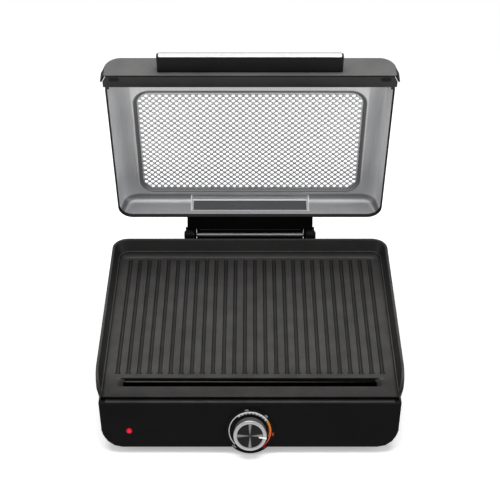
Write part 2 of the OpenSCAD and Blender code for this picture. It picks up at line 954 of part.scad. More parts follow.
module lid_pan() {
  color(steel)
    opened()
      difference() {
        union() {
          pan_form();
          pocket();
        }
        pan_form(sheet_t);
        pocket(sheet_t);
        // window
        translate([0, window_y, lid_top - 4])
          rounded_plate(window_l, window_d, 8, 14);
        // seat of the front flange
        translate([-pan_w, lid_front_y - over, lid_z - over])
          cube([2 * pan_w, flange_d + over + 0.3, over + 2.05]);
      }
}

module lid_window() {
  margin = 6;
  columns = floor((window_l - hole_d) / hole_pitch / 2);
  rows = floor((window_d - hole_d) / hole_pitch);
  color(steel)
    opened()
      translate([0, window_y, lid_top + 0.3])
        linear_extrude(sheet_t)
          difference() {
            rounded(window_l + 2 * margin, window_d + 2 * margin, 14 + margin);
            for (r = [-rows : rows])
              for (c = [-columns : columns - abs(r) % 2])
                translate([(c + (abs(r) % 2) / 2) * hole_pitch, r * hole_pitch / 2])
                  circle(d = hole_d, $fn = 24);
          }
}

fascia_top = lid_top + fascia_rise;

// The fascia's form between its face and its rear edge
module fascia_form(inset, rear_over) {
  y0 = lid_front_y + inset;
  y1 = lid_front_y + fascia_d + rear_over;
  top = fascia_top - inset;
  r = fascia_r - inset;
  bottom = lid_z - (inset > 0 ? over : 0);
  intersection() {
    hull()
      for (e = [[y0, fascia_w / 2 - inset], [y1, fascia_w / 2 + fascia_flare - inset]])
        both_sides()
          translate([0, e[0], 0]) {
            translate([e[1] - r, 0, top - r])
              rotate([-90, 0, 0])
                cylinder(r = r, h = tiny, $fn = 2 * hull_fn);
            translate([e[1] - r, 0, bottom])
              cube([r, tiny, 1]);
          }
    translate([-pan_w, y0 - over, bottom])
      cube([2 * pan_w, 2 * fascia_d, 2 * lid_h]);
  }
}

module lid_fascia() {
  color(black)
    opened()
      difference() {
        fascia_form(0, 0);
        fascia_form(fascia_t, over);
        for (x = [-handle_l / 3, 0, handle_l / 3])
          translate([x, lid_front_y - over, lid_z + handle_up + handle_t / 2])
            rotate([-90, 0, 0])
              cylinder(d = 4.2, h = fascia_t + 2 * over);
      }
}

module fascia_flange() {
  y0 = lid_front_y + fascia_t + 0.2;
  y1 = lid_front_y + flange_d;
  y2 = lid_front_y + fascia_d + 0.2;
  x0 = fascia_w / 2 - fascia_t - 0.8;
  x1 = pan_w / 2 + flange_over;
  color(black)
    opened()
      translate([0, 0, lid_z]) {
        linear_extrude(2)
          polygon([[-x0, y0], [x0, y0], [x1, y2], [x1, y1], [-x1, y1], [-x1, y2]]);
        both_sides()
          translate([pan_w / 2 - 5.5, y1 - tiny, 0])
            cube([3.2, 4, 2]);
      }
}

module lid_bumpers() {
  color(black)
    opened()
      both_sides()
        translate([fascia_w / 2 - 14, lid_front_y + 7, lid_z - lid_gap + 0.1])
          rounded_plate(14, 7, lid_gap - 0.1, 3.4);
}

module lid_handle() {
  color(black)
    opened()
      translate([0, lid_front_y, lid_z + handle_up + handle_t / 2])
        difference() {
          rotate([90, 0, 0])
            rounded_plate(handle_l, handle_t, handle_d, 3);
          translate([0, -handle_d, 0])
            rotate([90, 0, 0])
              translate([0, 0, -strip_t])
                rounded_plate(handle_l - 2 * strip_side + 0.4, handle_t - 1.6, strip_t + over, 2.4);
          for (x = [-handle_l / 3, 0, handle_l / 3])
            translate([x, tiny, 0])
              rotate([90, 0, 0])
                cylinder(d = 4, h = 14);
        }
}

module handle_strip() {
  color("white")
    opened()
      translate([0, lid_front_y - handle_d + strip_t, lid_z + handle_up + handle_t / 2])
        rotate([90, 0, 0])
          rounded_plate(handle_l - 2 * strip_side, handle_t - 2, strip_t + 0.2, 2.2);
}

module handle_screws() {
  color(steel)
    opened()
      for (x = [-handle_l / 3, 0, handle_l / 3])
        translate([x, lid_front_y + fascia_t, lid_z + handle_up + handle_t / 2])
          rotate([-90, 0, 0]) {
            translate([0, 0, -14])
              cylinder(d = 3.9, h = 14 + tiny);
            cylinder(d = 7.4, h = 2.1);
          }
}

bracket_half = hinge_w / 2 - 3;
lug_half = inner_half - 1.6;
lug_t = 3;
pad_top = lid_top - 8;
bracket_screw_z = (lid_z + pocket_up + pad_top) / 2 + 3;
bracket_screw_pitch = (bracket_half - 7) / 2;
bracket_screw_xs = [for (i = [-1.5 : 1.5]) i * bracket_screw_pitch];

module lid_bracket() {
  // profile of the web, closed, as y and z from the hinge
  pad_y = -hinge_back;
  up = pad_top - hinge_z;
  low = lid_z - hinge_z + 2;
  web = [[pad_y, low], [pad_y, up], [pad_y + bracket_t, up], [pad_y + bracket_t, low + 11],
    [-5.5, 12.5], [-2.5, 9.4], [-8.6, 4.9]];
  lug = concat([[-9, 5.5], [-5.5, 12.5]], [for (a = [60 : -20 : -160]) 7 * [cos(a), sin(a)]]);
  color(black)
    opened()
      translate([0, hinge_y, hinge_z])
        difference() {
          union() {
            rotate([90, 0, 90])
              translate([0, 0, -bracket_half])
                linear_extrude(2 * bracket_half)
                  polygon(web);
            both_sides()
              translate([lug_half - lug_t, 0, 0]) {
                rotate([90, 0, 90])
                  linear_extrude(lug_t)
                    polygon(lug);
                rotate([0, 90, 0])
                  cylinder(r = 7, h = lug_t);
              }
          }
          both_sides()
            translate([lug_half - lug_t - over, 0, 0])
              rotate([0, 90, 0])
                cylinder(d = rod_d + 3.04, h = lug_t + 2 * over);
          for (x = bracket_screw_xs)
            translate([x, pad_y - over, bracket_screw_z - hinge_z])
              rotate([-90, 0, 0])
                cylinder(d = 4.2, h = bracket_t + 2 * over);
        }
}

module lid_bracket_screws() {
  color(steel)
    opened()
      for (x = bracket_screw_xs)
        translate([x, lid_rear_y + bracket_t, bracket_screw_z])
          rotate([-90, 0, 0]) {
            cylinder(d = 7.2, h = 2.2);
            translate([0, 0, -bracket_t])
              cylinder(d = 4, h = bracket_t + tiny);
          }
}

module hinge_bushes() {
  color(ceramic)
    opened()
      both_sides()
        translate([lug_half - lug_t, hinge_y, hinge_z])
          rotate([0, 90, 0])
            difference() {
              union() {
                cylinder(d = rod_d + 3, h = lug_t + tiny);
                translate([0, 0, lug_t])
                  cylinder(d = rod_d + 6, h = 1.2);
              }
              translate([0, 0, -over])
                cylinder(r = rod_d / 2 + run_gap, h = lug_t + 3 * over);
            }
}

// ---------------------------------------------------------------- dial

knob_back = 1.2;
face_z = knob_h - 1;
pointer_angle = -9.2;
pointer_r = 12;         // where the pointer starts, from the dial's axis
pointer_w = 2.4;

module dial_shaft() {
  color(steel)
    on_dial()
      translate([0, 0, bracket_z - 8])
        cylinder(d = shaft_d, h = face_z - 4 - bracket_z + 8);
}

module knob_body() {
  color(black)
    on_dial()
      difference() {
        translate([0, 0, knob_back])
          cylinder(d = knob_d - 1, h = face_z - 1 - knob_back);
        translate([0, 0, knob_back - over])
          cylinder(d = shaft_d + 0.04, h = face_z - 4 - knob_back + over + tiny);
        // seat of the ring
        translate([0, 0, face_z - 4])
          difference() {
            cylinder(d = knob_d + 2, h = 4);
            translate([0, 0, -over])
              cylinder(d = knob_face_d, h = 6);
          }
      }
}

module knob_ring() {
  color(steel)
    on_dial()
      translate([0, 0, face_z - 4])
        difference() {
          cylinder(d = knob_d, h = 5);
          translate([0, 0, -over])
            cylinder(d = knob_face_d + 0.04, h = 8);
        }
}

module knob_face() {
  color(black)
    on_dial()
      translate([0, 0, face_z - 1])
        cylinder(d = knob_face_d - 0.1, h = 1.6);
}

module knob_pointer() {
  color("white")
    on_dial()
      rotate([0, 0, pointer_angle])
        translate([pointer_r, -pointer_w / 2, 0]) {
          translate([0, 0, face_z + 0.6])
            cube([knob_face_d / 2 - pointer_r - 0.1, pointer_w, knob_h - face_z - 0.6 + tiny]);
          translate([0, 0, knob_h])
            cube([knob_d / 2 - pointer_r + 0.2, pointer_w, 0.5]);
        }
}

module shaft_clip() {
  color(steel)
    on_dial()
      translate([0, 0, 0.35])
        difference() {
          cylinder(d = shaft_d + 4, h = 0.75);
          translate([0, 0, -over])
            cylinder(d = shaft_d + 0.04, h = 3);
        }
}

base_housing();
front_panel();
base_bottom();
base_feet();
base_screws();
panel_screws();
dial_bezel();
indicator_lens();
indicator_lamp();
thermostat();
thermostat_bracket();
thermostat_nut();
thermostat_tabs();
heat_reflector();
reflector_screws();
heating_element();
element_clips();
element_bushes();
terminal_pins();
temperature_probe();
probe_spring();
thermal_fuse();
terminal_block();
internal_wires();
cord_gland();
hinge_bracket();
hinge_bracket_screws();
hinge_rod();
rod_caps();
grease_tray();
plate_supports();
grill_plate();
lid_pan();
lid_window();
lid_fascia();
fascia_flange();
lid_bumpers();
lid_handle();
handle_strip();
handle_screws();
lid_bracket();
lid_bracket_screws();
hinge_bushes();
dial_shaft();
knob_body();
knob_ring();
knob_face();
knob_pointer();
shaft_clip();
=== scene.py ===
"""Looks of a countertop grill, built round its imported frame.

Each sub-assembly is a class that holds its own sizes. It dresses the frame's pieces with
procedural finishes, and builds a finer piece wherever the plain solid is too coarse. Sizes are in
metres, +Z is up, +Y is to the back, and the lid stands open.
"""

from __future__ import annotations

import json
import logging
import math
from dataclasses import dataclass, field
from enum import Enum, IntEnum
from typing import Any, Callable, Iterable, Sequence

import bmesh
import bpy
from bmesh.types import BMEdge, BMFace, BMVert
from bpy.types import Material, Object
from mathutils import Matrix, Vector


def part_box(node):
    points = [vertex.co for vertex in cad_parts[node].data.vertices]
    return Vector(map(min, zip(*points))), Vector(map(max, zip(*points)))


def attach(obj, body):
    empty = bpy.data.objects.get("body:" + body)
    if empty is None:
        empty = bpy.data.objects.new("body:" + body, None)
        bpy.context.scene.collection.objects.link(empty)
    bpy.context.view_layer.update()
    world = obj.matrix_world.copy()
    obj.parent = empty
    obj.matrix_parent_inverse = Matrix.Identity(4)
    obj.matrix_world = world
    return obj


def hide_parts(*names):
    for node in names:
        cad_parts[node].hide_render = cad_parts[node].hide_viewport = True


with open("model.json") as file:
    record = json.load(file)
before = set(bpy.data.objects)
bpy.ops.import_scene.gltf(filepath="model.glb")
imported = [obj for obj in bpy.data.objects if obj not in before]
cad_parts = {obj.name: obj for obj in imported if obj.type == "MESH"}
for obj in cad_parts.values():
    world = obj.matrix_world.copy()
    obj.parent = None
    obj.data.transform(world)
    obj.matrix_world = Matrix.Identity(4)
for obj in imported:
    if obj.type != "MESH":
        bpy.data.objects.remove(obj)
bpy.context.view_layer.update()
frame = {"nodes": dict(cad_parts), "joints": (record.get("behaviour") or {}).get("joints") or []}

LOG = logging.getLogger("grill")
MM = 0.001
SLACK = 0.01 * MM  # two places this near are taken as one
GLIDE = 0.5e-3 * MM  # a corner this near a cutting plane lies on it
MOSTLY = (0.3, 0.7)  # what fractal noise mostly stays within
STRAIGHT = 0.99  # a normal with this much of one axis looks along it
WHITE = (1.0, 1.0, 1.0, 1.0)

Colour = tuple[float, float, float]
Span = tuple[float, float]


def grey(level: float) -> Colour:
    """Returns a neutral colour."""
    return (level, level, level)


def shade(colour: Colour, factor: float) -> Colour:
    """Returns a colour made lighter or darker by a factor."""
    return tuple(min(1.0, c * factor) for c in colour)


# ---------------------------------------------------------------- shader graphs


class Value:
    """A socket of a shader graph that takes Python's operators."""

    def __init__(self, graph: Graph, socket: bpy.types.NodeSocket) -> None:
        """Wraps one output socket.

        Args:
            graph: The graph that the socket belongs to.
            socket: The output socket.
        """
        self.graph = graph
        self.socket = socket

    def out(self, name: str) -> Value:
        """Returns another output of the same node."""
        return Value(self.graph, self.socket.node.outputs[name])

    def _math(self, operation: str, *terms: Any) -> Value:
        """Returns the result of a Math node on the given terms."""
        return self.graph.add("ShaderNodeMath", {"operation": operation}, dict(enumerate(terms)))

    def __add__(self, other: Term) -> Value:
        """Returns self + other."""
        return self._math("ADD", self, other)

    __radd__ = __add__

    def __mul__(self, other: Term) -> Value:
        """Returns self * other."""
        return self._math("MULTIPLY", self, other)

    __rmul__ = __mul__

    def __pow__(self, other: Term) -> Value:
        """Returns self raised to other."""
        return self._math("POWER", self, other)

    def __abs__(self) -> Value:
        """Returns the absolute value."""
        return self._math("ABSOLUTE", self)

    def wave(self) -> Value:
        """Returns the sine."""
        return self._math("SINE", self)

    def turn_from(self, x: Value) -> Value:
        """Returns the angle of the point (x, self), in radians."""
        return self._math("ARCTAN2", self, x)

    def axis(self, name: str) -> Value:
        """Returns one axis of this vector."""
        return self.graph.add("ShaderNodeSeparateXYZ", None, {"Vector": self}, name)

    def length(self) -> Value:
        """Returns this vector's length."""
        return self.graph.add("ShaderNodeVectorMath", {"operation": "LENGTH"}, {0: self}, "Value")

    def even(self, to_low: float = 0.0, to_high: float = 1.0) -> Value:
        """Maps the range that a noise mostly fills onto another range."""
        return self.spread(*MOSTLY, to_low, to_high)

    def spread(self, low: float, high: float, to_low: float = 0.0, to_high: float = 1.0) -> Value:
        """Maps a range of this value smoothly onto another range.

        Args:
            low: Where the range starts.
            high: Where the range ends.
            to_low: What its start becomes.
            to_high: What its end becomes.

        Returns:
            The mapped value, clamped to the new range.
        """
        return self.graph.add(
            "ShaderNodeMapRange", {"interpolation_type": "SMOOTHSTEP", "clamp": True},
            {"Value": self, "From Min": low, "From Max": high, "To Min": to_low, "To Max": to_high})


Term = Value | float


class Graph:
    """The node tree of one material, or of the world."""

    def __init__(self, name: str, world: bpy.types.World | None = None) -> None:
        """Starts an empty tree.

        Args:
            name: The name of a new material.
            world: The world that the tree is for, in place of a material.
        """
        self.owner = world or bpy.data.materials.new(name)
        self.owner.use_nodes = True
        self.tree = self.owner.node_tree
        self.tree.nodes.clear()

    def add(self, kind: str, settings: dict[str, Any] | None = None,
            inputs: dict[Any, Any] | None = None, output: int | str = 0) -> Value:
        """Adds one node, sets it up and links it.

        Args:
            kind: The node's type.
            settings: Its settings, set first. "stops" holds a ramp's (place, colour) pairs.
            inputs: The values or links of its sockets, by name or number.
            output: The output that is wanted, by name or number.

        Returns:
            The wanted output.
        """
        node = self.tree.nodes.new(kind)
        for key, setting in (settings or {}).items():
            if key == "stops":
                ramp = node.color_ramp.elements
                while len(ramp) < len(setting):
                    ramp.new(1.0)
                for element, (place, colour) in zip(ramp, setting):
                    element.position = place
                    element.color = (*colour, 1.0)
            else:
                setattr(node, key, setting)
        for key, term in (inputs or {}).items():
            if isinstance(term, Value):
                self.tree.links.new(term.socket, node.inputs[key])
            else:
                node.inputs[key].default_value = term
        return Value(self, node.outputs[output])

    def place(self, matrix: Matrix | None = None, scale: Sequence[float] = (1, 1, 1)) -> Value:
        """Returns the Object coordinates, seen from a place and scaled.

        Args:
            matrix: The place that becomes the origin, or None for the part's own origin.
            scale: The scale along each axis of that place.
        """
        coords = self.add("ShaderNodeTexCoord", output="Object")
        if matrix is not None:
            back = matrix.inverted()
            coords = self.add("ShaderNodeMapping", {"vector_type": "POINT"}, {
                "Vector": coords, "Location": back.to_translation(), "Rotation": back.to_euler()})
        if tuple(scale) != (1, 1, 1):
            coords = self.add("ShaderNodeMapping", {"vector_type": "POINT"},
                              {"Vector": coords, "Scale": tuple(scale)})
        return coords

    def noise(self, size: float, detail: float = 2.0, coords: Value | None = None) -> Value:
        """Returns fractal noise whose cells have about the given size.

        Args:
            size: The size of its cells, in metres.
            detail: How many finer layers it has.
            coords: The coordinates it is read at, if not the part's own.
        """
        return self.add("ShaderNodeTexNoise", {"noise_dimensions": "3D"}, {
            "Vector": coords or self.place(), "Scale": 1.0 / size, "Detail": detail})

    def spots(self, size: float) -> Value:
        """Returns the distance to the nearest of many scattered points, in cells of a size."""
        return self.add("ShaderNodeTexVoronoi", {"feature": "F1"},
                        {"Vector": self.place(), "Scale": 1.0 / size})

    def tint(self, factor: Term, a: Colour | Value, b: Colour | Value, blend: str = "MIX") -> Value:
        """Mixes two colours.

        Args:
            factor: How much of b is taken.
            a: The first colour.
            b: The second colour.
            blend: The Mix node's blend type.

        Returns:
            The mixed colour.
        """
        a, b = (c if isinstance(c, Value) else (*c, 1.0) for c in (a, b))
        return self.add("ShaderNodeMix", {"data_type": "RGBA", "blend_type": blend},
                        {0: factor, 6: a, 7: b}, output=2)

    def bump(self, height: Value, depth: float) -> Value:
        """Returns a normal that a height map has roughened.

        Args:
            height: The height, from 0 to 1.
            depth: The depth in metres that a height of 1 stands for.
        """
        return self.add("ShaderNodeBump", None,
                        {"Height": height, "Distance": depth, "Strength": 1.0})

    def surface(self, **inputs: Any) -> Material:
        """Closes the graph with a Principled shader.

        Args:
            **inputs: The shader's sockets, with _ for a space in their names.

        Returns:
            The finished material.
        """
        named = {key.replace("_", " "): term for key, term in inputs.items()}
        self.close(self.add("ShaderNodeBsdfPrincipled", None, named))
        return self.owner

    def close(self, shader: Value, output: str = "ShaderNodeOutputMaterial") -> None:
        """Links a shader to the tree's output."""
        node = self.tree.nodes.new(output)
        self.tree.links.new(shader.socket, node.inputs["Surface"])


# ---------------------------------------------------------------- finishes


class Grain(Enum):
    """The direction that brushing runs in."""

    ACROSS = (0.03, 1.0, 1.0)
    DEEP = (1.0, 0.03, 1.0)
    UPRIGHT = (1.0, 0.03, 0.03)


@dataclass(frozen=True)
class Finish:
    """What a surface is made of."""

    name: str
    slot: str

    def build(self) -> Material:
        """Returns a new material of this finish."""
        raise NotImplementedError

    def material(self) -> Material:
        """Returns this finish's material, built at its first use."""
        return bpy.data.materials.get(self.name) or self.build()


@dataclass(frozen=True)
class MouldedPlastic(Finish):
    """Moulded plastic with a fine spark-eroded grain."""

    colour: Colour
    roughness: float = 0.5
    specular: float = 0.3
    grain: float = 0.7 * MM
    cloud: float = 35 * MM
    depth: float = 0.03 * MM
    darkest: float = 0.8
    uneven: float = 0.05

    def build(self) -> Material:
        """Returns the material: grain in the bump, and slow clouds in the colour and gloss."""
        g = Graph(self.name)
        fine = g.noise(self.grain, 3)
        cloud = g.noise(self.cloud, 3)
        colour = g.tint(fine.even() * 0.5 + cloud.even() * 0.5,
                        shade(self.colour, self.darkest), shade(self.colour, 1 / self.darkest))
        rough = cloud.spread(0.25, 0.75, self.roughness - self.uneven,
                             self.roughness + self.uneven)
        return g.surface(Base_Color=colour, Roughness=rough, Specular_IOR_Level=self.specular,
                         Normal=g.bump(fine, self.depth))


@dataclass(frozen=True)
class CoatedCast(Finish):
    """A cast plate under a sprayed non-stick coating, with its fine pale speckle."""

    colour: Colour
    fleck: Colour
    roughness: float = 0.5
    specular: float = 0.16
    peel: float = 1.1 * MM
    cloud: float = 28 * MM
    mottle: float = 0.18
    dot: float = 1.6 * MM
    patch: float = 5 * MM
    depth: float = 0.09 * MM
    # painted shade: the colour darkens on steep walls and in the groove beds
    wall: Span = (0.9, 0.15)
    wall_shade: Colour = grey(0.2)
    bed: Span = (79.7 * MM, 77.6 * MM)
    bed_shade: Colour = grey(0.45)
    # painted shadow: the colour darkens towards the rear, where the open lid shades the plate
    lid_shadow: Span = (-40 * MM, 130 * MM)
    lid_shadow_tint: Colour = (0.5, 0.49, 0.49)
    # the colour darkens towards the front edge
    front_dark: Span = (-112 * MM, -158 * MM)
    front_dark_tint: Colour = (0.58, 0.57, 0.57)

    def build(self) -> Material:
        """Returns the material: peel, clouds, flecks, and painted shade on walls, beds and the
        rear.
        """
        g = Graph(self.name)
        peel = g.noise(self.peel, 4)
        cloud = g.noise(self.cloud, 4)
        fleck = g.spots(self.dot).spread(0.10, 0.22, 1, 0) * g.noise(self.patch).spread(0.5, 0.6)
        base = g.tint(cloud.even(), shade(self.colour, 1 - self.mottle),
                      shade(self.colour, 1 + self.mottle))
        base = g.tint(peel.spread(0.35, 0.65) * 0.25, base, self.fleck)
        colour = g.tint(fleck * 0.55, base, self.fleck)
        upward = g.add("ShaderNodeNewGeometry", output="Normal").axis("Z")
        depth, height = g.place().axis("Y"), g.place().axis("Z")
        for where, span, tint in ((upward, self.wall, self.wall_shade),
                                  (height, self.bed, self.bed_shade),
                                  (depth, self.lid_shadow, self.lid_shadow_tint),
                                  (depth, self.front_dark, self.front_dark_tint)):
            colour = g.tint(where.spread(*span), colour, tint, "MULTIPLY")
        rough = peel.even(self.roughness - 0.08, self.roughness + 0.07)
        return g.surface(Base_Color=colour, Roughness=rough, Specular_IOR_Level=self.specular,
                         Normal=g.bump(peel, self.depth))


@dataclass(frozen=True)
class BrushedSheet(Finish):
    """Bare or plated sheet metal with brush marks along one direction."""

    colour: Colour
    roughness: float = 0.35
    grain: Grain = Grain.ACROSS
    metallic: float = 1.0
    streak: float = 0.12
    size: float = 0.5 * MM
    stain: float = 45 * MM
    depth: float = 0.012 * MM

    def build(self) -> Material:
        """Returns the material: long streaks in the colour, gloss and bump, and slow stains."""
        g = Graph(self.name)
        streak = g.noise(self.size, 4, g.place(scale=self.grain.value))
        stain = g.noise(self.stain, 3)
        colour = g.tint(streak.even() * 0.7 + stain.even() * 0.3,
                        shade(self.colour, 1 - self.streak), shade(self.colour, 1 + self.streak))
        rough = streak.even(-0.04, 0.05) + stain.even(-0.03, 0.03) + self.roughness
        return g.surface(Base_Color=self.paint(g, colour), Roughness=rough,
                         Metallic=self.metallic, Normal=g.bump(streak, self.depth))

    def paint(self, g: Graph, colour: Value) -> Value:
        """Returns the brushed colour as it is."""
        return colour


@dataclass(frozen=True)
class ShadedSheet(BrushedSheet):
    """Bright sheet metal with painted shade towards the hinge end and in the rear crease."""

    place: Matrix = field(default_factory=Matrix)
    # painted shade: the colour darkens towards the hinge, across the rear crease and on the rear
    # shoulder
    hinge_shade: Span = (50 * MM, 90 * MM)
    crease: tuple[Span, Span] = ((125 * MM, 129.5 * MM), (136.5 * MM, 133 * MM))
    shoulder_shade: Span = (134 * MM, 137 * MM)

    def paint(self, g: Graph, colour: Value) -> Value:
        """Darkens the colour with painted shade towards the hinge and in the rear crease.

        Args:
            g: The material's graph.
            colour: The brushed colour.

        Returns:
            The colour with its painted shade.
        """
        depth = g.place(self.place).axis("Y")
        before, behind = (depth.spread(*span) for span in self.crease)
        for where, tint in ((depth.spread(*self.hinge_shade), (0.85, 0.85, 0.86)),
                            (before * behind, grey(0.22)),
                            (depth.spread(*self.shoulder_shade), grey(0.42))):
            colour = g.tint(where, colour, tint, "MULTIPLY")
        return colour


@dataclass(frozen=True)
class TurnedMetal(Finish):
    """Metal turned on a lathe about the dial's axis, with concentric tool marks."""

    colour: Colour
    place: Matrix
    roughness: float = 0.28
    pitch: float = 0.16 * MM
    wander: float = 0.35 * MM
    drift: float = 9 * MM
    depth: float = 0.01 * MM
    glint_wedges: float = 0.0
    bright: Colour = grey(0.5)

    def build(self) -> Material:
        """Returns the material: rings round the axis, and on the spun face pale wedge-shaped
        painted highlights.
        """
        g = Graph(self.name)
        coords = g.place(self.place)
        x, y = coords.axis("X"), coords.axis("Y")
        radius = (x * x + y * y) ** 0.5
        rings = (radius * (2 * math.pi / self.pitch)).wave()
        wander = g.noise(self.wander, 3, g.add("ShaderNodeCombineXYZ", None, {"X": radius}))
        height = rings * 0.25 + 0.5 + wander * 0.5
        colour: Colour | Value = self.colour
        # painted highlights: pale wedge shapes up, down and to the sides stand in for the lamps'
        # reflections in the spun face
        if self.glint_wedges > 0:
            angle = y.turn_from(x)
            drift = g.noise(self.drift, coords=coords).even(-0.04, 0.04)
            lobe = abs((angle * 2 + drift).wave())
            shine = lobe.spread(0.0, 0.42, 1, 0) * wander.spread(0.2, 0.8, 0.7, 1.0)
            colour = g.tint(shine * self.glint_wedges, self.colour, self.bright)
        colour = g.tint(rings.spread(-1, 1, 0, 0.02), colour, grey(0.9))
        rough = wander.even(self.roughness - 0.05, self.roughness + 0.07)
        return g.surface(Base_Color=colour, Roughness=rough, Metallic=1.0,
                         Normal=g.bump(height, self.depth))


@dataclass(frozen=True)
class GlowingLens(Finish):
    """A clear red lens with a lamp behind it."""

    colour: Colour
    glow: Colour
    place: Matrix
    radius: float = 4 * MM
    facet: float = 1.2 * MM
    strength: float = 1.0

    def build(self) -> Material:
        """Returns the material: brightest at the middle of the lens."""
        g = Graph(self.name)
        coords = g.place(self.place)
        core = coords.length().spread(0.15 * self.radius, self.radius, 1, 0)
        facets = g.noise(self.facet, 2, coords).even(0.8, 1.0)
        glow = g.tint(core * facets, shade(self.glow, 0.45), self.glow)
        return g.surface(Base_Color=g.tint(core, self.colour, self.glow), Roughness=0.2,
                         Specular_IOR_Level=0.15, Emission_Color=glow,
                         Emission_Strength=self.strength)


@dataclass(frozen=True)
class MattRubber(Finish):
    """Soft rubber with a dusty, fine-pored skin."""

    colour: Colour
    pore: float = 0.5 * MM
    bloom: float = 7 * MM
    depth: float = 0.05 * MM

    def build(self) -> Material:
        """Returns the material: pores in the bump and bloom in the colour."""
        g = Graph(self.name)
        pores = g.noise(self.pore, 3)
        bloom = g.noise(self.bloom, 3)
        colour = g.tint(bloom.spread(0.35, 0.7), self.colour, shade(self.colour, 1.7))
        return g.surface(Base_Color=colour, Roughness=pores.even(0.75, 0.92),
                         Specular_IOR_Level=0.25, Normal=g.bump(pores, self.depth))


@dataclass(frozen=True)
class FiredCeramic(Finish):
    """Unglazed ceramic or mineral-filled moulding."""

    colour: Colour
    grit: float = 0.4 * MM
    pit: float = 1.1 * MM
    depth: float = 0.04 * MM

    def build(self) -> Material:
        """Returns the material: chalky grain with small pits."""
        g = Graph(self.name)
        grit = g.noise(self.grit, 4)
        pits = g.spots(self.pit).spread(0.05, 0.2)
        colour = g.tint(pits * 0.6 + grit.even() * 0.4, shade(self.colour, 0.72), self.colour)
        return g.surface(Base_Color=colour, Roughness=grit.even(0.6, 0.8),
                         Normal=g.bump(grit, self.depth))


@dataclass(frozen=True)
class TintedSheath(Finish):
    """The heating tube's metal sheath, tinted by heat."""

    band: float = 38 * MM
    scale: float = 0.8 * MM
    depth: float = 0.03 * MM

    def build(self) -> Material:
        """Returns the material: straw, blue and grey bands that drift along the tube."""
        g = Graph(self.name)
        drift = g.noise(self.band, 3)
        colour = g.add("ShaderNodeValToRGB", {"stops": (
            (0.30, (0.09, 0.085, 0.08)), (0.45, (0.17, 0.12, 0.07)),
            (0.55, (0.10, 0.10, 0.14)), (0.70, (0.07, 0.068, 0.065)))}, {"Fac": drift})
        scale = g.noise(self.scale, 3)
        return g.surface(Base_Color=colour, Metallic=0.8,
                         Roughness=scale.even(0.4, 0.6), Normal=g.bump(scale, self.depth))


@dataclass(frozen=True)
class PrintedInk(Finish):
    """Ink printed on the dial's scale plate."""

    colour: Colour
    far: Colour | None = None
    place: Matrix = field(default_factory=Matrix)
    fade: Span = (0.0, 1.0)
    thin: float = 0.6 * MM

    def build(self) -> Material:
        """Returns the material: slightly uneven ink that may fade to a second colour downwards."""
        g = Graph(self.name)
        thin = g.noise(self.thin, 3)
        colour: Colour | Value = self.colour
        if self.far is not None:
            height = g.place(self.place).axis("Y")
            colour = g.tint(height.spread(*self.fade, 1, 0), self.colour, self.far)
        colour = g.tint(thin.spread(0.3, 0.75, 0, 0.15), colour, grey(0.05))
        return g.surface(Base_Color=colour, Roughness=thin.even(0.4, 0.55))


# ---------------------------------------------------------------- shapes


def show(name: str, data: bpy.types.ID) -> Object:
    """Puts a mesh, curve, lamp or camera into the scene.

    Args:
        name: The name of its object.
        data: The mesh, curve, lamp or camera.

    Returns:
        The new object.
    """
    made = bpy.data.objects.new(name, data)
    bpy.context.scene.collection.objects.link(made)
    return made


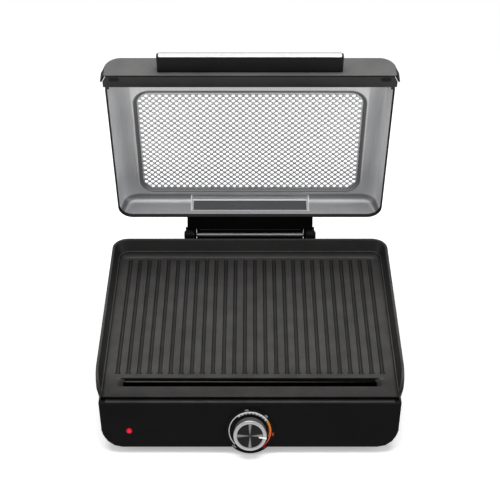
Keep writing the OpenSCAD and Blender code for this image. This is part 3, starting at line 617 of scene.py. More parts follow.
class Shape:
    """A mesh in the making, with the operators that the pieces share."""

    weld: float = 0.002 * MM
    sliver: float = 0.004 * MM
    flat: float = math.radians(0.6)
    misfit: float = 1e-3

    def __init__(self, node: str | None = None) -> None:
        """Starts an empty mesh, or a clean copy of one of the frame's solids.

        Args:
            node: The frame's node to copy, if any.
        """
        self.bm = bmesh.new()
        if node is not None:
            self.bm.from_mesh(frame["nodes"][node].data)
            bmesh.ops.remove_doubles(self.bm, verts=self.bm.verts, dist=self.weld)
            bmesh.ops.dissolve_degenerate(self.bm, edges=self.bm.edges, dist=self.sliver)
            bmesh.ops.dissolve_limit(self.bm, angle_limit=self.flat, verts=self.bm.verts,
                                     edges=self.bm.edges)

    def bevel(self, geom: Sequence[Any], width: float, segments: int, affect: str = "EDGES",
              material: int = -1) -> None:
        """Rounds some edges or corners.

        Args:
            geom: The edges or corners.
            width: The width of the rounding.
            segments: The faces of the rounding.
            affect: "EDGES" or "VERTICES".
            material: The slot of the new faces, or -1 for that of their neighbours.
        """
        bmesh.ops.bevel(self.bm, geom=geom, offset=width, offset_type="OFFSET", affect=affect,
                        segments=segments, profile=0.5, material=material)

    def outline(self, width: float, depth: float, radii: Sequence[float], segments: int = 8,
                centre: Sequence[float] = (0, 0, 0)) -> BMFace:
        """Adds a flat face with rounded corners.

        Args:
            width: Its size along X.
            depth: Its size along Y.
            radii: The radii of its front and rear corners.
            segments: The edges of each corner.
            centre: Its middle.

        Returns:
            The face, with its normal up.
        """
        made = bmesh.ops.create_grid(self.bm, x_segments=1, y_segments=1, size=0.5)["verts"]
        bmesh.ops.scale(self.bm, vec=(width, depth, 1), verts=made)
        bmesh.ops.translate(self.bm, vec=Vector(centre), verts=made)
        before = set(self.bm.faces) - set(made[0].link_faces)
        for sign, radius in zip((-1, 1), radii):
            corners = [v for v in made if v.is_valid and (v.co.y - centre[1]) * sign > 0]
            self.bevel(corners, radius, segments, "VERTICES")
        face = next(f for f in self.bm.faces if f not in before)
        if face.normal.z < 0:
            face.normal_flip()
        return face

    def step(self, face: BMFace, inset: float, rise: float,
             half_width: float | None = None) -> None:
        """Draws a face in and up, with a ring of faces between.

        Args:
            face: The face that moves.
            inset: How far its outline moves in.
            rise: How far it moves up.
            half_width: What its half width along X becomes, if that isn't left to the inset.
        """
        bmesh.ops.inset_region(self.bm, faces=[face], thickness=inset, depth=0,
                               use_boundary=True, use_even_offset=True)
        verts = list(face.verts)
        bmesh.ops.translate(self.bm, vec=(0, 0, rise), verts=verts)
        if half_width is not None:
            now = max(abs(v.co.x) for v in verts)
            bmesh.ops.scale(self.bm, vec=(half_width / now, 1, 1), verts=verts)

    def lathe(self, profile: Sequence[tuple[float, float]], steps: int = 72) -> None:
        """Spins an open profile about the Z axis.

        Args:
            profile: The radius and height of its points.
            steps: The number of steps of the full turn.
        """
        verts = [self.bm.verts.new((r, 0, z)) for r, z in profile]
        edges = [self.bm.edges.new(pair) for pair in zip(verts, verts[1:])]
        bmesh.ops.spin(self.bm, geom=verts + edges, cent=(0, 0, 0), axis=(0, 0, 1),
                       angle=2 * math.pi, steps=steps, use_merge=True)
        bmesh.ops.remove_doubles(self.bm, verts=self.bm.verts, dist=self.weld / 2)
        bmesh.ops.recalc_face_normals(self.bm, faces=self.bm.faces)

    def slab(self, size: Sequence[float], centre: Sequence[float], bevel: float,
             segments: int = 2) -> None:
        """Adds a box with rounded edges.

        Args:
            size: Its size along each axis.
            centre: Its middle.
            bevel: The rounding of its edges.
            segments: The faces of that rounding.
        """
        made = bmesh.ops.create_cube(self.bm, size=1)["verts"]
        bmesh.ops.scale(self.bm, vec=Vector(size), verts=made)
        bmesh.ops.translate(self.bm, vec=Vector(centre), verts=made)
        self.bevel(list({e for v in made for e in v.link_edges}), bevel, segments)

    def soften(self, width: float, segments: int = 2, angle: float = 28,
               where: Callable[[BMEdge], bool] = lambda edge: True) -> None:
        """Rounds the edges that are sharper than an angle.

        Args:
            width: The width of the rounding.
            segments: The faces of the rounding.
            angle: The least angle in degrees of an edge that is rounded.
            where: Picks the edges that may be rounded.
        """
        limit = math.radians(angle)
        sharp = [e for e in self.bm.edges
                 if len(e.link_faces) == 2 and e.calc_face_angle(0) > limit and where(e)]
        self.bevel(sharp, width, segments)
        self.refill()

    def refill(self) -> None:
        """Fills afresh each flat face whose outline a single polygon can't hold."""
        areas: dict[BMFace, float] = {}
        for corners in self.bm.calc_loop_triangles():
            a, b, c = (loop.vert.co for loop in corners)
            face = corners[0].face
            areas[face] = areas.get(face, 0.0) + (b - a).cross(c - a).length / 2
        self.bm.normal_update()
        for face, area in areas.items():
            if len(face.verts) > 4 and abs(area - face.calc_area()) > self.misfit * area:
                rim, normal = list(face.edges), face.normal.copy()
                bmesh.ops.delete(self.bm, geom=[face], context="FACES_ONLY")
                slits = [e for e in rim if e.is_wire]
                rim = [e for e in rim if e.is_boundary]
                bmesh.ops.delete(self.bm, geom=slits, context="EDGES")
                bmesh.ops.triangle_fill(self.bm, use_beauty=True, use_dissolve=False,
                                        normal=normal, edges=rim)
        bmesh.ops.recalc_face_normals(self.bm, faces=self.bm.faces)
        if self.bm.calc_volume(signed=True) < 0:
            bmesh.ops.reverse_faces(self.bm, faces=self.bm.faces)

    def split(self, faces: Iterable[BMFace], place: Sequence[float],
              normal: Sequence[float]) -> None:
        """Splits some faces along a plane.

        Args:
            faces: The faces.
            place: A point of the plane.
            normal: The plane's normal.
        """
        faces = list(faces)
        edges = {e for f in faces for e in f.edges}
        verts = {v for f in faces for v in f.verts}
        bmesh.ops.bisect_plane(self.bm, geom=[*faces, *edges, *verts], plane_co=place,
                               plane_no=normal, dist=GLIDE)

    def look(self, way: Sequence[float]) -> None:
        """Turns each face of a flat mesh to look one way.

        Args:
            way: The direction.
        """
        self.bm.normal_update()
        for face in self.bm.faces:
            if face.normal.dot(way) < 0:
                face.normal_flip()

    def move(self, matrix: Matrix) -> None:
        """Moves the whole mesh by a matrix."""
        bmesh.ops.transform(self.bm, matrix=matrix, verts=self.bm.verts)

    def piece(self, name: str, body: str, *finishes: Finish, replaces: Sequence[str] = (),
              smooth: float = 35, solid: float = 0) -> Object:
        """Closes the mesh and makes it a piece that rides on a body.

        Args:
            name: The piece's name.
            body: The body that it rides on.
            *finishes: Its finishes, in the order of the mesh's material slots.
            replaces: The frame's nodes that it stands for.
            smooth: The angle in degrees above which an edge stays sharp.
            solid: The thickness of its wall, if the mesh is a sheet.

        Returns:
            The piece.
        """
        mesh = bpy.data.meshes.new(name)
        self.bm.normal_update()
        self.bm.to_mesh(mesh)
        self.bm.free()
        for finish in finishes:
            mesh.materials.append(finish.material())
        mesh.polygons.foreach_set("use_smooth", [True] * len(mesh.polygons))
        mesh.set_sharp_from_angle(angle=math.radians(smooth))
        piece = show(name, mesh)
        if solid:
            wall = piece.modifiers.new("wall", "SOLIDIFY")
            wall.thickness = solid
            wall.offset = -1.0
            wall.use_quality_normals = True
            if len(finishes) > 1:
                wall.material_offset = 1
                wall.material_offset_rim = 1
        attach(piece, body)
        if replaces:
            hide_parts(*replaces)
        LOG.info("%s: %d faces on %s", name, len(mesh.polygons), body)
        return piece


def dress(finish: Finish, *nodes: str) -> None:
    """Gives the frame's own pieces a finish.

    Args:
        finish: The finish.
        *nodes: The names of the nodes.
    """
    for name in nodes:
        slots = frame["nodes"][name].data.materials
        slots.clear()
        slots.append(finish.material())
        LOG.info("%s: dressed as %s", name, finish.name)


def joint(name: str) -> dict[str, Any]:
    """Returns one of the frame's joints by its name."""
    return next(j for j in frame["joints"] if j["name"] == name)


def softened(node: str, body: str, finish: Finish, width: float, segments: int = 2,
             angle: float = 28, smooth: float = 35) -> Object:
    """Replaces a solid of the frame by a copy with rounded edges.

    Args:
        node: The frame's node.
        body: The body that it rides on.
        finish: Its finish.
        width: The width of the rounding.
        segments: The faces of the rounding.
        angle: The least angle in degrees of an edge that is rounded.
        smooth: The angle in degrees above which an edge stays sharp.

    Returns:
        The new piece.
    """
    shape = Shape(node)
    shape.soften(width, segments, angle)
    return shape.piece(f"{node}_fine", body, finish, replaces=[node], smooth=smooth)


# ---------------------------------------------------------------- shared finishes

BLACK_PLASTIC = MouldedPlastic("black_plastic", "housing_plastic", (0.009, 0.009, 0.0095),
                               roughness=0.52, specular=0.08)
PANEL_PLASTIC = MouldedPlastic("panel_plastic", "housing_plastic", (0.0062, 0.0060, 0.0062),
                               roughness=0.42, specular=0.04, depth=0.015 * MM)
# grey: painted light on the fascia's faces that look to the front or up; the fascia itself is black
FASCIA_LIT = MouldedPlastic("fascia_painted_light", "lid_plastic", (0.092, 0.092, 0.091),
                             roughness=0.55, specular=0.25)
EDGE_PLASTIC = MouldedPlastic("edge_plastic", "lid_plastic", grey(0.006),
                              roughness=0.5, specular=0.05)
HANDLE_PLASTIC = MouldedPlastic("handle_plastic", "lid_plastic", grey(0.008),
                                roughness=0.45, specular=0.12)
# lighter than black plastic: painted light standing in for fill light on the flange
FLANGE_LIT = MouldedPlastic("flange_painted_light", "lid_plastic", grey(0.030),
                                roughness=0.5, specular=0.20)
FOOT_RUBBER = MattRubber("matt_rubber", "foot_rubber", grey(0.03))
BUMPER_RUBBER = MattRubber("bumper_rubber", "foot_rubber", (0.008, 0.008, 0.009))
BLACK_NYLON = MouldedPlastic("black_nylon", "housing_plastic", grey(0.004),
                             roughness=0.5, specular=0.05)
ZINC = BrushedSheet("zinc_plate", "zinc_steel", (0.62, 0.62, 0.63), roughness=0.34)
CERAMIC = FiredCeramic("fired_ceramic", "ceramic_bush", (0.86, 0.83, 0.75))
PHENOLIC = FiredCeramic("mineral_moulding", "phenolic", (0.78, 0.74, 0.64))
BRASS = BrushedSheet("plain_brass", "brass_tab", (0.78, 0.60, 0.28), roughness=0.3)


# ---------------------------------------------------------------- cooking plate


@dataclass
class CookingPlate:
    """The ridged plate, and the tray that hangs under its slot."""

    ridge_pitch: float = 14.25 * MM
    ridge_top: float = 7.6 * MM
    grooves: int = 26
    flank: tuple[Span, ...] = (
        (0.22 * MM, -0.03 * MM), (0.22 * MM, -0.12 * MM), (0.20 * MM, -0.25 * MM),
        (0.95 * MM, -1.85 * MM), (0.22 * MM, -0.32 * MM), (0.24 * MM, -0.20 * MM),
        (0.26 * MM, -0.08 * MM))
    groove_front: float = -130.2 * MM
    groove_rear: float = 120.5 * MM
    groove_corner: float = 1.6 * MM
    groove_end: float = 0.6
    brim_half: float = 180.5 * MM
    brim_width: float = 17.4 * MM
    brim_y: float = -144.9 * MM
    brim_corner: float = 6 * MM
    slot_front: float = -156 * MM
    funnel: tuple[tuple[float, float, float], ...] = (
        (0.15 * MM, -0.06 * MM, 180.1 * MM), (0.2 * MM, -0.3 * MM, 179.2 * MM),
        (0.3 * MM, -1.0 * MM, 176 * MM), (0.2 * MM, -2.0 * MM, 171 * MM),
        (0.1 * MM, -1.2 * MM, 169.5 * MM), (0.05 * MM, -0.8 * MM, 169.5 * MM))
    under_clear: float = 0.1 * MM
    floor_clear: float = 0.3 * MM
    rim_edge: float = 0.55 * MM
    lip_lean: float = 2.8 * MM
    lip_thick: float = 0.3 * MM
    flare: float = 1.55
    flare_length: float = 5.5 * MM
    coating: CoatedCast = CoatedCast("plate_coating", "cast_plate", (0.046, 0.0448, 0.044),
                                     (0.09, 0.086, 0.081), roughness=0.42)
    # the tray is real; its near-black colour is painted shade for the dark slot
    tray_sheet: BrushedSheet = BrushedSheet("tray_painted_shade", "tray_sheet", grey(0.006),
                                            roughness=0.6)

    def build(self) -> None:
        """Builds the plate with rounded ridges, and dresses what lies under it."""
        self.plate()
        softened("grease_tray", "base", self.tray_sheet, 0.35 * MM)
        dress(ZINC, "plate_supports")

    def plate(self) -> None:
        """Keeps the cast form's walls, and gives it a new floor with grooves and a slot."""
        shape = Shape("grill_plate")
        bm = shape.bm
        lip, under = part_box("grill_plate")[0].yz
        level = {f for f in bm.faces if f.normal.z > STRAIGHT}
        floor = max(level, key=lambda f: f.calc_area()).calc_center_median().z
        old = []
        for f in bm.faces:
            middle = f.calc_center_median()
            if middle.z < floor + SLACK and (
                    f in level
                    or middle.z > under + self.under_clear and middle.y > self.slot_front):
                old.append(f)
        bmesh.ops.delete(bm, context="FACES", geom=old)
        slot = shape.outline(2 * self.brim_half, self.brim_width, (self.brim_corner,) * 2, 6,
                             (0, self.brim_y, floor))
        grooves = []
        half = (self.ridge_pitch - self.ridge_top) / 2
        length = self.groove_rear - self.groove_front
        for i in range(self.grooves):
            x = (i + 0.5 - self.grooves / 2) * self.ridge_pitch
            face = shape.outline(2 * half, length, (self.groove_corner, half * self.groove_end), 4,
                                 (x, (self.groove_front + self.groove_rear) / 2, floor))
            self.flare_end(face, x)
            grooves.append(face)
        bmesh.ops.triangle_fill(bm, use_beauty=True, use_dissolve=False, normal=(0, 0, 1), edges=[
            e for e in bm.edges if e.is_boundary
            and all(abs(v.co.z - floor) < SLACK for v in e.verts)])
        for face in grooves:
            for inset, rise in self.flank:
                shape.step(face, inset, rise)
        for inset, rise, half_length in self.funnel:
            shape.step(slot, inset, rise, half_length)
        hole = [e for e in bm.edges if e.is_boundary and abs(e.verts[0].co.z - under) < SLACK]
        brim = list(slot.edges)
        bmesh.ops.delete(bm, geom=[slot], context="FACES_ONLY")
        bmesh.ops.bridge_loops(bm, edges=hole + brim)
        for v in bm.verts:
            if v.co.z < under + SLACK and v.co.y < lip + self.lip_thick:
                v.co.y += self.lip_lean
        bmesh.ops.recalc_face_normals(bm, faces=bm.faces)
        shape.soften(self.rim_edge, 3, angle=24, where=lambda e: all(
            v.co.z > floor + self.floor_clear for v in e.verts))
        shape.piece("grill_plate_fine", "base", self.coating, replaces=["grill_plate"], smooth=38)

    def flare_end(self, face: BMFace, x: float) -> None:
        """Widens a groove's outline at its front end.

        Args:
            face: The outline.
            x: The groove's middle.
        """
        foot = [v for v in face.verts if v.co.y < self.groove_front + 2 * self.groove_corner]
        for edge in [e for e in face.edges if e.calc_length() > self.ridge_pitch]:
            front, rear = sorted(edge.verts, key=lambda v: v.co.y)
            at = self.groove_front + self.flare_length
            bmesh.utils.edge_split(edge, front, (at - front.co.y) / (rear.co.y - front.co.y))
        for v in foot:
            v.co.x = x + (v.co.x - x) * self.flare


# ---------------------------------------------------------------- base


@dataclass
class Base:
    """The housing with its slanted panel, cover, feet, lamp and cord entry."""

    shell_round: float = 0.7 * MM
    panel_round: float = 0.6 * MM
    corner_x: float = 160 * MM
    corner_z: float = 46 * MM
    corner_turn: float = math.radians(22.5)
    corner_chord: Span = (6 * MM, 14 * MM)
    corner_slope: float = 1.2 * MM
    lens_r: float = 3.9 * MM
    lens_rise: float = 0.75 * MM
    lens_foot: float = 5.5 * MM
    lens_seat: Span = (-5 * MM, -3 * MM)
    lens_glow: float = 0.6
    edge_half: float = 191 * MM
    edge_depth: float = 5.8 * MM
    edge_under: float = 3.3 * MM
    edge_thick: float = 0.6 * MM
    edge_round: float = 0.25 * MM
    # a pale strip on the deck's edge: painted highlight
    edge_highlight: MouldedPlastic = MouldedPlastic("deck_highlight", "housing_plastic",
                                                 grey(0.055), roughness=0.35)

    def build(self) -> None:
        """Builds the shell's visible pieces and dresses the small ones."""
        self.shell("base_housing", BLACK_PLASTIC, self.shell_round)
        self.shell("front_panel", PANEL_PLASTIC, self.panel_round)
        softened("base_bottom", "base", BLACK_PLASTIC, 0.4 * MM)
        softened("base_feet", "base", FOOT_RUBBER, 0.8 * MM, 3)
        softened("cord_gland", "base", BLACK_PLASTIC, 0.5 * MM)
        dress(ZINC, "base_screws", "panel_screws")
        self.deck_highlight()
        self.lamp()

    def shell(self, node: str, finish: Finish, width: float) -> None:
        """Rounds a piece of the shell: the outlines of its lower corners, then its edges.

        Args:
            node: The frame's node.
            finish: Its finish.
            width: The width of its rounded edges.
        """
        shape = Shape(node)
        for edge in [e for e in shape.bm.edges if self.on_corner(e)]:
            middle = (edge.verts[0].co + edge.verts[1].co) / 2
            outward = Vector((math.copysign(1, middle.x), 0, -1))
            normal = min(edge.link_faces, key=lambda f: f.calc_area()).normal.copy()
            if normal.dot(outward) < 0:
                normal.negate()
            bulge = edge.calc_length() * math.tan(self.corner_turn / 4) / 2
            bmesh.utils.edge_split(edge, edge.verts[0], 0.5)[1].co += normal * bulge
        shape.soften(width, 3, 35)
        shape.piece(f"{node}_fine", "base", finish, replaces=[node], smooth=45)

    def on_corner(self, edge: BMEdge) -> bool:
        """Returns whether an edge is a chord of a lower corner's outline."""
        a, b = (v.co for v in edge.verts)
        return (len(edge.link_faces) == 2
                and min(abs(a.x), abs(b.x)) > self.corner_x and max(a.z, b.z) < self.corner_z
                and self.corner_chord[0] < edge.calc_length() < self.corner_chord[1]
                and min(abs(a.x - b.x), abs(a.z - b.z)) > self.corner_slope
                and edge.calc_face_angle(0) > math.radians(60))

    def deck_highlight(self) -> None:
        """Builds a thin pale strip on the deck in front of the plate's lip: a painted highlight on
        the deck's edge.
        """
        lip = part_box("grill_plate")[0].y
        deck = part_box("base_housing")[1].z
        shape = Shape()
        shape.slab((2 * self.edge_half, self.edge_depth, self.edge_thick),
                   (0, lip + self.edge_under - self.edge_depth / 2, deck), self.edge_round)
        shape.piece("deck_highlight", "base", self.edge_highlight)

    def lamp(self) -> None:
        """Builds the domed lens over the lamp."""
        low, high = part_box("indicator_lens")
        place = Dial.place() @ Matrix.Translation(((low.x + high.x) / 2, 0, 0))
        glass = GlowingLens("lamp_lens", "lens_red", (0.25, 0.004, 0.008), (0.80, 0.010, 0.030),
                            place, strength=self.lens_glow)
        shape = Shape()
        r, rise, foot, (low, high) = self.lens_r, self.lens_rise, self.lens_foot, self.lens_seat
        dome = [(r * math.cos(a), rise * math.sin(a)) for a in (0.3, 0.6, 0.9, 1.2, 1.4)]
        shape.lathe([(0, low), (foot, low), (foot, high), (r, high), (r, 0), *dome, (0, rise)], 48)
        shape.move(place)
        shape.piece("lamp_lens", "base", glass, replaces=["indicator_lens"])
        dress(PHENOLIC, "indicator_lamp")


# ---------------------------------------------------------------- heater


@dataclass
class Heater:
    """Everything between the plate and the bottom cover that makes and minds the heat."""

    reflector: BrushedSheet = BrushedSheet("mill_sheet", "reflector_sheet",
                                           (0.66, 0.66, 0.67), roughness=0.3, grain=Grain.DEEP)
    jacket: MouldedPlastic = MouldedPlastic("silicone_jacket", "wire_jacket", (0.42, 0.05, 0.035),
                                            roughness=0.6)

    def build(self) -> None:
        """Dresses the heater's pieces."""
        dress(self.reflector, "heat_reflector")
        dress(TintedSheath("heated_sheath", "element_sheath"), "heating_element")
        dress(ZINC, "element_clips", "reflector_screws", "probe_spring", "temperature_probe",
              "thermostat_bracket", "thermostat_nut")
        dress(CERAMIC, "element_bushes")
        dress(PHENOLIC, "thermostat", "terminal_block")
        dress(BRASS, "terminal_pins", "thermal_fuse", "thermostat_tabs")
        dress(self.jacket, "internal_wires")


# ---------------------------------------------------------------- dial


@dataclass(frozen=True)
class Mark:
    """A printed word or number beside the scale."""

    text: str
    angle: float
    ink: str


@dataclass
class Dial:
    """The knob on its shaft, and the scale plate printed round it."""

    knob_r: float = 22 * MM
    face_r: float = 17.2 * MM
    bore_r: float = 3.1 * MM
    bar_start: float = 12 * MM
    bar_over: float = 0.2 * MM
    bar_width: float = 2.2 * MM
    bar_thick: float = 1.0 * MM
    bar_round: float = 0.35 * MM
    back: float = 1.2 * MM
    top: float = 14.6 * MM
    plate_top: float = 0.3 * MM
    proud: float = 0.02 * MM
    ink_thick: float = 0.06 * MM
    text_thick: float = 0.03 * MM
    text_cap: float = 0.72
    line_r: float = 28.3 * MM
    line_w: float = 1.25 * MM
    tooth: float = 1.33 * MM
    tooth_share: float = 0.64
    text_r: float = 29.6 * MM
    text_size: float = 3.3 * MM
    pointer_angle: float = -9.2
    marks: tuple[Mark, ...] = (Mark("OFF", 227, "white"), Mark("100", 98.6, "white"),
                               Mark("150", 46, "white"), Mark("200", -8.4, "orange"),
                               Mark("250", -51, "red"))
    # each band's start and end in degrees, its width against the line's, and its teeth
    bands: dict[str, tuple[tuple[float, float, float, int], ...]] = field(default_factory=lambda: {
        "white": ((128, 224, 1.0, 0), (33, 128, 1.6, 9)), "orange": ((-20, 33, 1.5, 6),),
        "red": ((-59, -20, 1.1, 0),)})

    @staticmethod
    def place() -> Matrix:
        """Returns the dial's place: Z out of the panel, Y up it, the origin on the panel."""
        turn = joint("dial_turn")
        out = Vector(turn["axis"]).normalized()
        across = Vector((1, 0, 0))
        basis = Matrix((across, out.cross(across), out)).transposed().to_4x4()
        return Matrix.Translation(Vector(turn["pos_m"])) @ basis

    def build(self) -> None:
        """Builds the knob's pieces and the printed scale."""
        place = self.place()
        ring = TurnedMetal("turned_ring", "ring_metal", (0.33, 0.33, 0.34), place, roughness=0.3)
        # the face's pale wedge shapes are painted highlights
        face = TurnedMetal("brushed_face", "spun_face", (0.007, 0.007, 0.0075), place,
                           roughness=0.34, depth=0.008 * MM, glint_wedges=1.0, bright=grey(0.24))
        inks = {
            "white": PrintedInk("ink_white", "ring_metal", grey(0.85)),
            "orange": PrintedInk("ink_orange", "ring_metal", (1.0, 0.32, 0.02), (0.95, 0.12, 0.01),
                                 place, (-12 * MM, 14 * MM)),
            "red": PrintedInk("ink_red", "ring_metal", (0.95, 0.10, 0.03), (0.75, 0.01, 0.02),
                              place, (-22 * MM, -12 * MM)),
        }
        self.knob(place, ring, face)
        self.scale(place, inks)
        softened("dial_bezel", "base", PANEL_PLASTIC, 0.12 * MM)
        dress(ZINC, "dial_shaft", "shaft_clip")

    def knob(self, place: Matrix, ring: TurnedMetal, face: TurnedMetal) -> None:
        """Builds the knob's body, its bright ring, its spun face and its pointer.

        Args:
            place: The dial's place.
            ring: The ring's finish.
            face: The face's finish.
        """
        r, top, inner, bore = self.knob_r, self.top, self.face_r, self.bore_r
        back, seat, floor = self.back, top - 5 * MM, top - 2.2 * MM
        side = MouldedPlastic("knob_side", "housing_plastic", (0.085, 0.087, 0.085),
                              roughness=0.35, specular=0.4)
        turned = {
            "knob_body": (side, [
                (bore, back), (r - 1.6 * MM, back), (r - 0.9 * MM, back + 0.7 * MM),
                (r - 0.5 * MM, seat), (inner, seat), (inner, floor), (bore, floor), (bore, back)]),
            "knob_ring": (ring, [
                (inner, seat), (r, seat), (r, top - 1.0 * MM), (r - 0.35 * MM, top - 0.4 * MM),
                (r - 1.1 * MM, top), (inner + 0.7 * MM, top), (inner + 0.2 * MM, top - 0.25 * MM),
                (inner, top - 0.8 * MM), (inner, seat)]),
            "knob_face": (face, [
                (0, top - 2 * MM), (inner - 0.1 * MM, top - 2 * MM),
                (inner - 0.1 * MM, top - 0.9 * MM), (inner - 0.4 * MM, top - 0.6 * MM),
                (inner * 0.5, top - 0.55 * MM), (0, top - 0.45 * MM)]),
        }
        for node, (finish, profile) in turned.items():
            shape = Shape()
            shape.lathe(profile, 96)
            shape.move(place)
            shape.piece(f"{node}_fine", "dial", finish, replaces=[node])
        bar = Shape()
        start, end = self.bar_start, r + self.bar_over
        bar.slab((end - start, self.bar_width, self.bar_thick), ((start + end) / 2, 0, top),
                 self.bar_round, 3)
        bar.move(place @ Matrix.Rotation(math.radians(self.pointer_angle), 4, "Z"))
        bar.piece("knob_pointer_fine", "dial",
                  BrushedSheet("pointer_bar", "pointer_metal", grey(0.9), roughness=0.4,
                               metallic=0.3), replaces=["knob_pointer"])

    def arc(self, shape: Shape, inner: float, outer: float, start: float, end: float) -> None:
        """Adds a flat printed arc, a little proud of the scale plate.

        Args:
            shape: The shape that it is added to.
            inner: Its inner radius.
            outer: Its outer radius.
            start: The angle in degrees that it starts at, from the right, anticlockwise.
            end: The angle in degrees that it ends at.
        """
        bm, z = shape.bm, self.plate_top + self.proud
        turn = Matrix.Rotation(math.radians(start), 4, "Z")
        ends = [bm.verts.new(turn @ Vector((r, 0, z))) for r in (inner, outer)]
        edge = bm.edges.new(ends)
        sweep = math.radians(end - start)
        bmesh.ops.spin(bm, geom=[*ends, edge], cent=(0, 0, 0), axis=(0, 0, 1), angle=sweep,
                       steps=max(2, round(abs(end - start) / 3)))

    def scale(self, place: Matrix, inks: dict[str, PrintedInk]) -> None:
        """Prints the scale's line, bands, teeth and numbers on the plate.

        Args:
            place: The dial's place.
            inks: The inks by colour.
        """
        r, w = self.line_r, self.line_w
        for colour, bands in self.bands.items():
            shape = Shape()
            for start, end, thick, teeth in bands:
                self.arc(shape, r - w * thick, r, start, end)
                for i in range(teeth):
                    middle = start + (end - start) * (i + 0.5) / teeth
                    half = (end - start) / teeth * self.tooth_share / 2
                    self.arc(shape, r - w * thick - self.tooth, r - w * thick * 0.9,
                             middle - half, middle + half)
            shape.look((0, 0, 1))
            shape.move(place)
            shape.piece(f"scale_{colour}", "base", inks[colour], solid=self.ink_thick)
        for mark in self.marks:
            self.word(mark, place, inks[mark.ink])

    def word(self, mark: Mark, place: Matrix, ink: PrintedInk) -> None:
        """Prints one mark along the scale's rim.

        Args:
            mark: The mark.
            place: The dial's place.
            ink: Its ink.
        """
        curve = bpy.data.curves.new(f"mark_{mark.text}", "FONT")
        curve.body = mark.text
        curve.size = self.text_size
        curve.align_x = "CENTER"
        curve.resolution_u = 3
        curve.extrude = self.text_thick
        holder = show(curve.name, curve)
        bpy.context.view_layer.update()
        mesh = bpy.data.meshes.new_from_object(
            holder.evaluated_get(bpy.context.evaluated_depsgraph_get()))
        bpy.data.objects.remove(holder)
        shape = Shape()
        shape.bm.from_mesh(mesh)
        bpy.data.meshes.remove(mesh)
        below = math.sin(math.radians(mark.angle)) < -0.5
        turn = mark.angle + 90 if below else mark.angle - 90
        base = -(self.text_r + self.text_size * self.text_cap) if below else self.text_r
        local = (Matrix.Rotation(math.radians(turn), 4, "Z")
                 @ Matrix.Translation((0, base, self.plate_top + self.proud + self.text_thick)))
        shape.move(place @ local)
        shape.piece(f"mark_{mark.text}", "base", ink)


# ---------------------------------------------------------------- lid


class PanSlot(IntEnum):
    """The material slots of the pan's mesh. The wall's outer face takes the slot after."""

    INSIDE = 0
    FOLD_SHADE = 2
    PAINTED_HIGHLIGHT = 4
    HEM = 5


